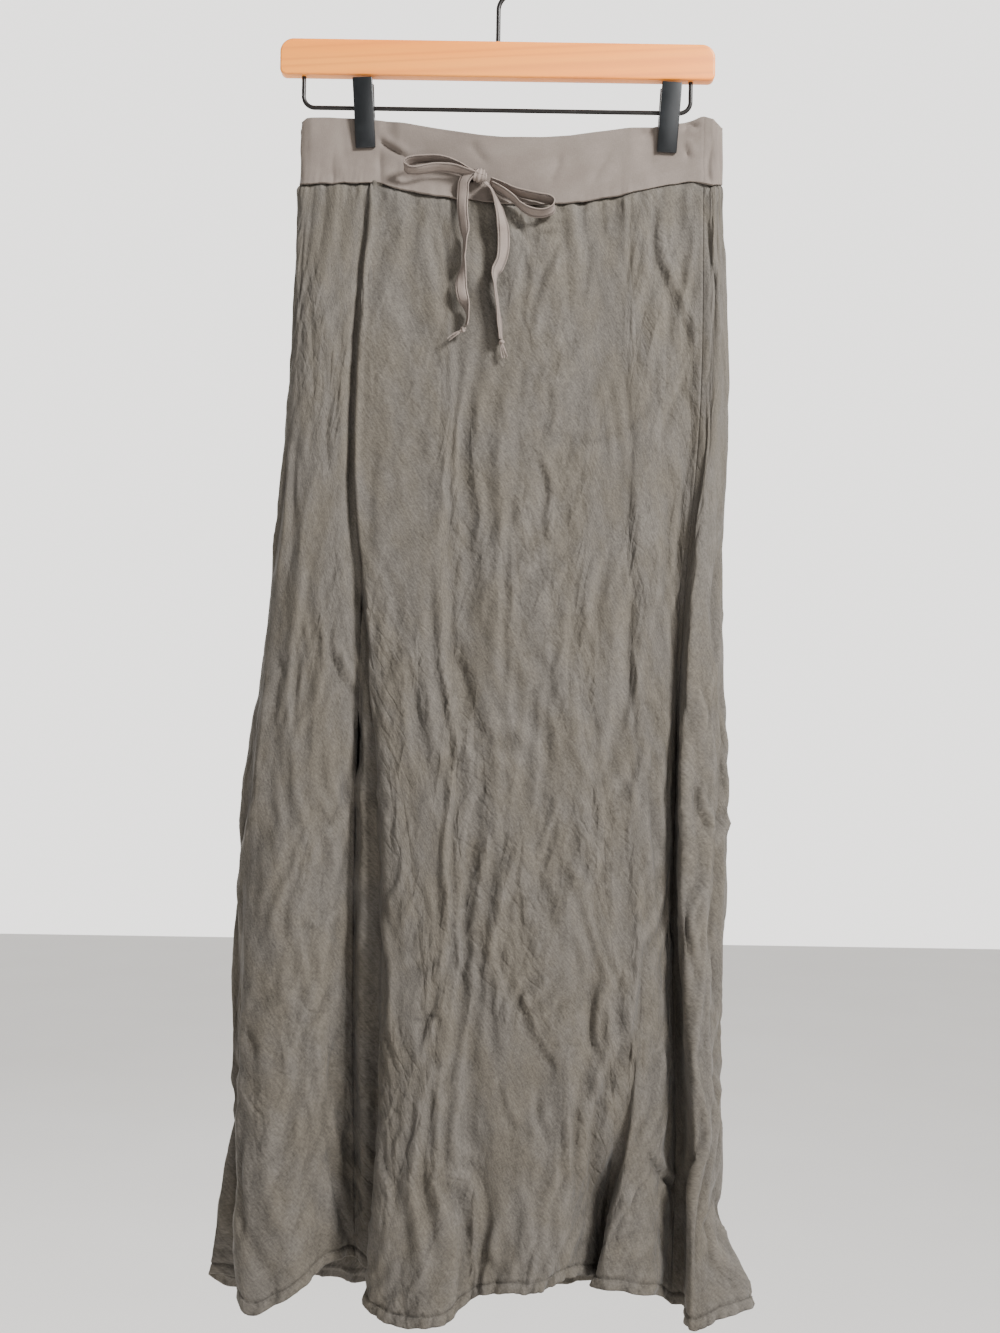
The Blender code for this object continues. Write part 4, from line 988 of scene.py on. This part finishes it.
def band_stand(x, front, rise):
    """How far a waistband wall stands off the hanger's plane. The clips pinch both walls together."""
    middle, half = (CLIP_LEFT_X + CLIP_RIGHT_X) / 2, (CLIP_RIGHT_X - CLIP_LEFT_X) / 2
    reach = np.minimum(1, np.abs(x - middle) / half)
    loose = BAND_STAND + (FRONT_BELLY if front else BACK_BELLY) * np.cos(math.pi / 2 * reach) ** 2
    near = 1 - smooth_edge(PINCH_HALF, PINCH_HALF + PINCH_FADE, from_clip(x))
    return loose + (BAND_PINCHED - loose) * near * smooth_edge(0.05, 0.42, rise)


def in_buttonhole(point):
    if point.y > 0:
        return False
    for across, height in BUTTONHOLES:
        x = (point.x - across * MM) / BUTTONHOLE_HALF[0]
        z = (point.z - height * MM) / BUTTONHOLE_HALF[1]
        if x * x + z * z < 1:
            return True
    return False


def make_band(name, first, last, cells, across_start):
    """A waistband wall from the waist seam up to its top edge. Cells is how many across and up."""
    columns, rows = cells
    places, across = lay_out(first, last, columns)
    base = ring(0, places)
    if first == 0:
        reach = np.arange(columns + 1) / columns
        pleat = (places > PLEAT_SPAN[0]) & (places < PLEAT_SPAN[1])
        for axis in (0, 1):
            base[pleat, axis] = np.interp(reach[pleat], reach[~pleat], base[~pleat, axis])
    x = base[:, 0]
    top, seam = np.interp(x, EDGE_X, EDGE_TOP), waist_z(x)
    folds = FOLD_X[[2, SEAM_PLACE + 4], 0]
    room = np.minimum(x - folds[0], folds[1] - x)
    edge = np.sqrt(np.clip(room / (8 * MM), 0, 1))
    rises = np.linspace(1, 0, rows + 1)
    grid = np.repeat(base[None], rows + 1, axis=0)
    sign = np.where(base[:, 1] < 0, -1, 1)
    for row, rise in enumerate(rises):
        stand = np.where(sign < 0, band_stand(x, True, rise), band_stand(x, False, rise))
        share = float(smooth_edge(0.0, 0.5, np.array(rise)))
        grid[row, :, 1] += (stand * edge * sign - base[:, 1]) * share
        grid[row, :, 2] = seam - SEAM_LAP + (top - seam + SEAM_LAP) * rise + seam_wave(x) * (1 - rise) ** 4
    normal = outward(grid)
    flat = across[None, :] + across_start
    down = top - grid[..., 2]
    low = BAND_TALL - down
    out = slanted(flat, down, 30 * MM, 26 * MM, 20, 61, ripple) * 0.55
    out += slanted(flat, down, 12 * MM, 30 * MM, -12, 62, ripple) * 0.18
    out += slanted(flat, down, 5 * MM, 22 * MM, 6, 63, ripple) * 0.42 * np.exp(-low / (7 * MM))
    out += 0.95 * np.exp(-low / (3.2 * MM)) - 0.25 * bump_at(down, 2.0 * MM, 1.2 * MM)
    held = (1 - smooth_edge(9 * MM, 15 * MM, from_clip(grid[..., 0]))) * smooth_edge(34 * MM, 28 * MM, down)
    out = (out * MM + hand_creased(grid, normal, BAND_CREASES) * 1.5) * (1 - held)
    grid = grid + normal * out[..., None]
    made = add_sheet(name, grid, flat, down, band_cloth, BAND_WALL, in_buttonhole)
    bevel = made.modifiers.new("turned edge", "BEVEL")
    bevel.width, bevel.segments = 0.45 * MM, 2
    bevel.limit_method, bevel.angle_limit = "ANGLE", math.radians(60)
    return made, across


# Drawstring

def tangents(points):
    last = len(points) - 1
    return [(points[min(i + 1, last)] - points[max(i - 1, 0)]).normalized() for i in range(last + 1)]


def ribbon(name, middle, across, material, cup=0.5 * MM):
    """A tape along a line of points, with its own width direction at each, cupped a little and
    ribbed at its edges."""
    columns = 10
    length = 0.0
    grid, flat, down = [], [], []
    for i, (point, wide, along) in enumerate(zip(middle, across, tangents(middle))):
        if i:
            length += (point - middle[i - 1]).length
        face = along.cross(wide).normalized()
        line = []
        for j in range(columns + 1):
            t = j / columns * 2 - 1
            sway = 0.22 * MM * math.sin(length / (3.1 * MM) + 1.7 * t)
            sway += 0.3 * MM * math.sin(length / (7.7 * MM) - 2 * t)
            rib = -0.22 * MM if 0.68 < abs(t) < 0.78 else 0.0
            line.append(point + wide * (TAPE_WIDTH / 2 * t) + face * (cup * t * t + sway * abs(t) + rib))
        grid.append([tuple(p) for p in line])
        flat.append([t * TAPE_WIDTH / columns for t in range(columns + 1)])
        down.append([length] * (columns + 1))
    return add_sheet(name, np.array(grid), np.array(flat), np.array(down), material, TAPE_WALL)


def tail(name, rows, material):
    steps = 8
    line = smooth_route([Vector((x, -stand, z)) * MM for x, stand, z, turn in rows], steps)
    turns = smooth_route([Vector((turn, 0, 5 * i)) for i, (x, stand, z, turn) in enumerate(rows)], steps)
    across = []
    for direction, turn in zip(tangents(line), turns):
        flat = direction.cross(Vector((0, -1, 0))).normalized()
        across.append(Matrix.Rotation(math.radians(turn.x), 3, direction) @ flat)
    return ribbon(name, line, across, material), line


def loop(name, rows, width, material):
    line = smooth_route([Vector((x, -stand, z)) * MM for x, stand, z in rows], 8)
    across = [(width - direction * width.dot(direction)).normalized() for direction in tangents(line)]
    return ribbon(name, line, across, material), line


def knot(name, material):
    """The bow's knot: the tape wound once, on the slant, round the four strands that it gathers."""
    turns, columns = 48, 16
    axle = Vector((1, 0, -KNOT_LEAN)).normalized()
    up = Vector((KNOT_LEAN, 0, 1)).normalized()
    half_long, half_deep, half_high = KNOT_HALF
    grid = []
    for i in range(turns + 1):
        angle = 2 * math.pi * i / turns
        pinch = 0.9 + 0.14 * math.cos(2 * angle + 0.8)
        line = []
        for j in range(columns + 1):
            t = j / columns * 2 - 1
            bulge = 1 - 0.42 * abs(t) ** 3 + 0.13 * math.cos(3.4 * math.pi * t + 1.2 * math.sin(angle))
            deep = -math.cos(angle) * half_deep * bulge
            high = math.sin(angle) * half_high * bulge + 1.1 * t * math.cos(angle)
            point = axle * (t * half_long * pinch) + up * high + Vector((0, deep, 0))
            line.append(tuple(KNOT_AT + point * MM))
        grid.append(line)
    flat = np.array([[j * TAPE_WIDTH / columns for j in range(columns + 1)]] * (turns + 1))
    down = np.array([[i * 0.7 * MM] * (columns + 1) for i in range(turns + 1)])
    return add_sheet(name, np.array(grid), flat, down, material, TAPE_WALL)


def knot_core(name, material):
    bm = bmesh.new()
    bmesh.ops.create_uvsphere(bm, u_segments=24, v_segments=14, radius=1)
    bmesh.ops.scale(bm, vec=Vector(KNOT_CORE_HALF) * MM, verts=bm.verts)
    for vertex in bm.verts:
        wave = math.sin(vertex.co.x / (1.1 * MM) + vertex.co.z / (1.6 * MM))
        vertex.co += vertex.co.normalized() * 0.5 * MM * wave
    bmesh.ops.translate(bm, vec=KNOT_AT, verts=bm.verts)
    return add_mesh(name, bm, material, None)


def wire(name, points, radius, material, resolution=4):
    """A round wire along a list of points, made a mesh."""
    curve = bpy.data.curves.new(name, "CURVE")
    curve.dimensions = "3D"
    curve.bevel_depth, curve.bevel_resolution, curve.use_fill_caps = radius, resolution, True
    spline = curve.splines.new("POLY")
    spline.points.add(len(points) - 1)
    for point, place in zip(spline.points, points):
        point.co = (*place, 1)
    rough = bpy.data.objects.new(name, curve)
    parts.objects.link(rough)
    mesh = bpy.data.meshes.new_from_object(rough.evaluated_get(bpy.context.evaluated_depsgraph_get()))
    bpy.data.objects.remove(rough)
    bm = bmesh.new()
    bm.from_mesh(mesh)
    bmesh.ops.remove_doubles(bm, verts=bm.verts, dist=0.001 * MM)
    return add_mesh(name, bm, material, 50)


def join_meshes(name, pieces, material):
    """Several of the script's pieces made one."""
    bm = bmesh.new()
    for piece in pieces:
        bm.from_mesh(piece.data)
        bpy.data.objects.remove(piece)
    return add_mesh(name, bm, material, 50)


def tape_tip(name, rows, seed, material):
    """A small knot at the tape's end, and the frayed threads below it."""
    draw = random.Random(seed)
    points = [Vector((x, -stand, z)) * MM for x, stand, z in rows]
    along = (points[-1] - points[0]).normalized()
    side = along.cross(Vector((0, 1, 0))).normalized()
    centre = points[0].lerp(points[1], 0.45)
    ring_points = []
    for i in range(25):
        angle = 2 * math.pi * i / 24
        swing = side * math.cos(angle) * 1.4 + Vector((0, -1, 0)) * math.sin(angle) * 1.2
        ring_points.append(centre + (swing + along * 0.7 * math.sin(2 * angle)) * MM)
    made = [wire(name, ring_points, 0.95 * MM, material, 3)]
    made.append(wire(name, [points[0] - along * MM, centre, centre + along * 2.4 * MM], 1.2 * MM, material, 3))
    for i in range(9):
        spread = side * draw.uniform(-1.5, 1.5) + Vector((0, 1, 0)) * draw.uniform(-0.9, 0.9)
        length = draw.uniform(0.55, 1.0)
        ends = [centre + along * 1.6 * MM]
        for share in (0.4, 0.75, 1.0):
            bent = spread * (0.6 + share) + side * draw.uniform(-0.3, 0.3)
            ends.append(centre.lerp(points[-1], share * length) + bent * MM)
        made.append(wire(name, smooth_route(ends, 3), draw.uniform(0.28, 0.45) * MM, material, 1))
    return join_meshes(name, made, material)


# Hanger

def arc(centre, radius, start, end, steps):
    angles = [math.radians(start + (end - start) * i / steps) for i in range(steps + 1)]
    return [Vector((centre[0] + radius * math.cos(a), 0, centre[1] + radius * math.sin(a))) for a in angles]


HOOK_CENTRE_Z = -(HOOK_R - HOOK_WIRE_R)
HOOK_TURN = math.acos(HOOK_BEND_R / (HOOK_R + HOOK_BEND_R))
BEND_Z = HOOK_CENTRE_Z - (HOOK_R + HOOK_BEND_R) * math.sin(HOOK_TURN)
BAR_TOP = BEND_Z - HOOK_STEM
BAR_FOOT = BAR_TOP - BAR_HEIGHT
RAIL_Z = BAR_FOOT - RAIL_DROP


def make_hook(material):
    turn = math.degrees(HOOK_TURN)
    foot = Vector((0, 0, BAR_TOP - HOOK_STEM_IN_BAR + END_ROOM))
    bend = arc((HOOK_BEND_R, BEND_Z), HOOK_BEND_R, 180, 180 - turn, 14)
    round_part = arc((0, HOOK_CENTRE_Z), HOOK_R, -turn, HOOK_TIP_ANGLE, 60)
    made = [wire("hook", [foot, *bend, *round_part[1:]], HOOK_WIRE_R, material, 5)]
    bm = bmesh.new()
    bmesh.ops.create_uvsphere(bm, u_segments=20, v_segments=12, radius=HOOK_WIRE_R * 1.02)
    bmesh.ops.translate(bm, vec=round_part[-1], verts=bm.verts)
    made.append(add_mesh("tip", bm, material, None))
    return join_meshes("hook_wire", made, material)


def make_rail(material):
    top = BAR_FOOT + RAIL_IN_BAR - END_ROOM
    inner, low = RAIL_HALF - RAIL_BEND_R, RAIL_Z + RAIL_BEND_R
    left = arc((-inner, low), RAIL_BEND_R, 180, 270, 14)
    right = arc((inner, low), RAIL_BEND_R, 270, 360, 14)
    ends = [Vector((x, 0, top)) for x in (-RAIL_HALF, RAIL_HALF)]
    return wire("clip_rail", [ends[0], *left, *right, ends[1]], RAIL_WIRE_R, material, 5)


def make_bar(material):
    """The wooden bar, with larger corners above and all its edges eased."""
    half, low, high = BAR_LENGTH / 2, BAR_FOOT, BAR_TOP
    corners = (
        ((half - BAR_FOOT_CORNER, low + BAR_FOOT_CORNER), BAR_FOOT_CORNER, -90, 0, 10),
        ((half - BAR_TOP_CORNER, high - BAR_TOP_CORNER), BAR_TOP_CORNER, 0, 90, 14),
        ((-half + BAR_TOP_CORNER, high - BAR_TOP_CORNER), BAR_TOP_CORNER, 90, 180, 14),
        ((-half + BAR_FOOT_CORNER, low + BAR_FOOT_CORNER), BAR_FOOT_CORNER, 180, 270, 10),
    )
    outline = [point for centre, r, a, b, steps in corners for point in arc(centre, r, a, b, steps)]
    bm = bmesh.new()
    face = bm.faces.new([bm.verts.new(p + Vector((0, -BAR_DEPTH / 2, 0))) for p in outline])
    pulled = bmesh.ops.extrude_face_region(bm, geom=[face])
    moved = [v for v in pulled["geom"] if isinstance(v, bmesh.types.BMVert)]
    bmesh.ops.translate(bm, vec=(0, BAR_DEPTH, 0), verts=moved)
    rims = [e for e in bm.edges if abs(e.verts[0].co.y - e.verts[1].co.y) < 1e-7]
    bmesh.ops.bevel(bm, geom=rims, offset=1.7 * MM, segments=5, profile=0.5, affect="EDGES", material=-1)
    return add_mesh("wooden_bar", bm, material, 30)


def clip_frame(x):
    lean = math.radians(CLIP_LEAN) * (-1 if x < 0 else 1)
    return Matrix.Translation((x, 0, RAIL_Z)) @ Matrix.Rotation(lean, 4, "Y")


def add_box(name, size, place, ease, segments, material):
    bm = bmesh.new()
    bmesh.ops.create_cube(bm, size=1)
    bmesh.ops.scale(bm, vec=size, verts=bm.verts)
    bmesh.ops.bevel(bm, geom=bm.edges[:], offset=ease, segments=segments, profile=0.5, affect="EDGES", material=-1)
    bmesh.ops.transform(bm, matrix=place, verts=bm.verts)
    return add_mesh(name, bm, material)


def make_jaw(name, side, ear_x, place, material):
    """A clip jaw: a plate with eased edges that leans in to its foot, two ribs inside it, and ears
    round the rail."""
    length = CLIP_ABOVE + CLIP_BELOW
    slope = math.atan((JAW_TOP_OPEN - JAW_FOOT_OPEN) / length)
    middle_z = (CLIP_ABOVE - CLIP_BELOW) / 2
    middle_y = (JAW_TOP_OPEN + JAW_FOOT_OPEN) / 2 + JAW_WALL / 2
    plate = place @ Matrix.Translation((0, side * middle_y, middle_z)) @ Matrix.Rotation(-side * slope, 4, "X")
    pieces = [add_box(name, Vector((CLIP_WIDTH, JAW_WALL, length)), plate, 0.75 * MM, 3, material)]
    for x in (-0.36 * CLIP_WIDTH, 0.36 * CLIP_WIDTH):
        rib = plate @ Matrix.Translation((x, -side * 1.6 * MM, length * 0.2))
        pieces.append(add_box(name, Vector((1.2 * MM, 1.4 * MM, length * 0.5)), rib, 0.3 * MM, 2, material))
    for x in (-ear_x, ear_x):
        bm = bmesh.new()
        bmesh.ops.create_cone(bm, cap_ends=True, segments=28, radius1=EAR_R, radius2=EAR_R, depth=EAR_WALL)
        bmesh.ops.rotate(bm, matrix=Matrix.Rotation(math.pi / 2, 3, "Y"), verts=bm.verts)
        bmesh.ops.transform(bm, matrix=place @ Matrix.Translation((x, 0, 0)), verts=bm.verts)
        pieces.append(add_mesh(name, bm, material, 30))
        neck = place @ Matrix.Translation((x, side * middle_y / 2, 0))
        pieces.append(add_box(name, Vector((EAR_WALL, middle_y, 2 * EAR_R)), neck, 0.25 * MM, 2, material))
    return join_meshes(name, pieces, material)


def make_spring(name, place, material):
    """Turns of wire round the rail, with a leg up each handle."""
    turns, steps, pitch = 3, 24, 1.2 * MM
    coil_r = 2.7 * MM
    points = [Vector((-turns * pitch / 2, -4.9 * MM, 11 * MM))]
    for i in range(int((turns + 0.5) * steps) + 1):
        angle = math.pi + 2 * math.pi * i / steps
        x = (i / steps - turns / 2) * pitch
        points.append(Vector((x, coil_r * math.cos(angle), coil_r * math.sin(angle))))
    points.append(Vector(((turns / 2 + 0.5) * pitch, 4.9 * MM, 11 * MM)))
    return wire(name, [place @ p for p in points], 0.5 * MM, material, 3)


# Camera, light and floor

def make_studio():
    data = bpy.data.cameras.new("front view")
    camera = bpy.data.objects.new("front view", data)
    bpy.context.scene.collection.objects.link(camera)
    data.sensor_fit = "VERTICAL"
    data.sensor_height = SENSOR_TALL
    data.lens = SENSOR_TALL / 2 / (VIEW_TALL / 2 / -EYE.y)
    data.clip_end = 60
    camera.matrix_world = (Matrix.Translation(EYE) @ Matrix.Rotation(math.pi / 2, 4, "X")
                           @ Matrix.Rotation(math.atan(VIEW_ROLL), 4, "Z"))
    bpy.context.scene.camera = camera
    world = bpy.data.worlds.new("studio")
    world.use_nodes = True
    nodes, links = world.node_tree.nodes, world.node_tree.links
    toward, split, fade = (nodes.new("ShaderNode" + kind) for kind in ("TexCoord", "SeparateXYZ", "MapRange"))
    fade.interpolation_type = "SMOOTHSTEP"
    for key, value in (("From Min", -0.15), ("From Max", 0.65), ("To Min", 0.28), ("To Max", 2.3)):
        fade.inputs[key].default_value = value
    links.new(toward.outputs["Generated"], split.inputs[0])
    links.new(split.outputs["Y"], fade.inputs["Value"])
    links.new(fade.outputs[0], nodes["Background"].inputs["Strength"])
    nodes["Background"].inputs["Color"].default_value = (1.0, 0.98, 0.955, 1)
    bpy.context.scene.world = world
    for name, place, size, power in (
        ("window", Vector((1.25, -1.25, 0.75)), 0.45, 108),
        ("far window", Vector((-1.9, -2.0, -0.2)), 1.6, 3),
        ("gloss panel", Vector((0.80, -2.8, 0.08)), 0.9, 15),
        ("behind", Vector((-1.6, 1.9, 0.7)), 1.0, 40),
    ):
        lamp = bpy.data.lights.new(name, "AREA")
        lamp.size, lamp.energy = size, power
        light = bpy.data.objects.new(name, lamp)
        bpy.context.scene.collection.objects.link(light)
        facing = (LAMP_AIM - place).to_track_quat("-Z", "Y").to_matrix().to_4x4()
        light.matrix_world = Matrix.Translation(place) @ facing
    bm = bmesh.new()
    bmesh.ops.create_grid(bm, x_segments=8, y_segments=8, size=FLOOR_HALF)
    bmesh.ops.translate(bm, vec=(0, 0, FLOOR_Z), verts=bm.verts)
    add_mesh("studio_floor", bm, floor_finish(), None)


make_studio()
skirt_cloth = cloth_finish("washed crinkled cloth", (0.101, 0.0885, 0.0715), (0.105, 0.0945, 0.082))
band_cloth = plain_finish("taupe band cloth", (0.163, 0.135, 0.116), (0.186, 0.156, 0.135))
tape_cloth = plain_finish("taupe tape", (0.205, 0.166, 0.144), (0.245, 0.202, 0.176), 3.5 * MM)
thread = thread_finish("matching thread", (0.13, 0.115, 0.10))
wire_coat = coated_finish("black coated wire", (0.012, 0.010, 0.009), 0.30, 0.02 * MM, 0.3)
clip_plastic = coated_finish("satin black clip", (0.004, 0.005, 0.006), 0.27, 0.01 * MM)

# Tape
tape_pieces = [
    tail("tape_tail_left", TAIL_LEFT, tape_cloth),
    tail("tape_tail_right", TAIL_RIGHT, tape_cloth),
    loop("tape_loop_left", LOOP_LEFT, LOOP_LEFT_WIDTH, tape_cloth),
    loop("tape_loop_right", LOOP_RIGHT, LOOP_RIGHT_WIDTH, tape_cloth),
]
tip_left = keep(tape_tip("tape_tip_left", TIP_LEFT, 5, tape_cloth), "tape", "drawstring_tip_left")
tip_right = keep(tape_tip("tape_tip_right", TIP_RIGHT, 9, tape_cloth), "tape", "drawstring_tip_right")
knot_wrap = keep(knot("bow_knot", tape_cloth), "tape", "drawstring_knot")
core = keep(knot_core("bow_knot_core", tape_cloth), "tape")
for piece, line in tape_pieces:
    keep(piece, "tape", piece.name.replace("tape", "drawstring"))
ends = (("knot", [tip_left, knot_wrap, core]), ("knot", [tip_right]), ("object", []), ("object", []))
for (piece, line), (end, more) in zip(tape_pieces, ends):
    length = sum((b - a).length for a, b in zip(line, line[1:]))

# Cloth
left_fold, left_grid, left_out, left_across = make_panel(
    "front_panel_left_fold", 0, PLEAT_PLACE, FRONT_CELL, 0.0, (True, False))
front, front_grid, front_out, front_across = make_panel(
    "front_panel", PLEAT_PLACE, SEAM_PLACE, FRONT_CELL, left_across[-1], (False, True))
back, back_grid, back_out, _ = make_panel(
    "back_panel", SEAM_PLACE, ROUND, BACK_CELL, left_across[-1] + front_across[-1], (True, True),
    SEAM_PLACE + BACK_STRIP_FOLDS)
band_front, band_across = make_band("front_band", 0, SEAM_PLACE, BAND_FRONT_CELLS, 0.0)
band_back, _ = make_band("back_band", SEAM_PLACE, ROUND, BAND_BACK_CELLS, band_across[-1])
keep(front, "skirt_cloth", "skirt_front_panel")
keep(left_fold, "skirt_cloth", "skirt_front_panel")
keep(back, "skirt_cloth", "skirt_back_panel")
keep(band_front, "band_cloth", "waistband_front")
keep(band_back, "band_cloth", "waistband_back")

# Stitches
seam_column = len(front_across) - 1
while front_across[-1] - front_across[seam_column] < SEAM_STITCH_IN:
    seam_column -= 1
seam_line, seam_out = (values[SEAM_FIRST_ROW:, seam_column] for values in (front_grid, front_out))
seam_run = run_along(seam_line, seam_out, SEAM_STEP)
side_stitches = keep(stitches("side_seam_stitches", seam_run, thread, SEAM_STITCH), "skirt_cloth")
hem_row = int(np.searchsorted(row_shares(PANEL_ROWS), 1 - HEM_TALL / SKIRT_DROP))
hem_runs = []
for grid, out in ((left_grid, left_out), (front_grid, front_out), (back_grid, back_out)):
    hem_runs += run_along(grid[hem_row], out[hem_row], HEM_STEP)
hem_stitches = keep(stitches("hem_stitches", hem_runs, thread, HEM_STITCH), "skirt_cloth")

# Hanger
keep(make_bar(wood_finish()), "bar_wood", "hanger_bar")
keep(make_hook(wire_coat), "hanger_wire", "hanger_hook")
keep(make_rail(wire_coat), "hanger_wire", "hanger_rail")
outer = CLIP_WIDTH / 2 - EAR_WALL / 2 - CLIP_PLAY
inner = outer - EAR_WALL - 2 * CLIP_PLAY
for side, x in (("left", CLIP_LEFT_X), ("right", CLIP_RIGHT_X)):
    place = clip_frame(x)
    for layer, way, ear_x in (("front", -1, outer), ("back", 1, inner)):
        jaw = make_jaw(f"{side}_clip_{layer}", way, ear_x, place, clip_plastic)
        keep(jaw, "clip_plastic", f"clip_{side}_{layer}_jaw")
    keep(make_spring(f"{side}_clip_spring", place, wire_coat), "hanger_wire", f"clip_{side}_spring")
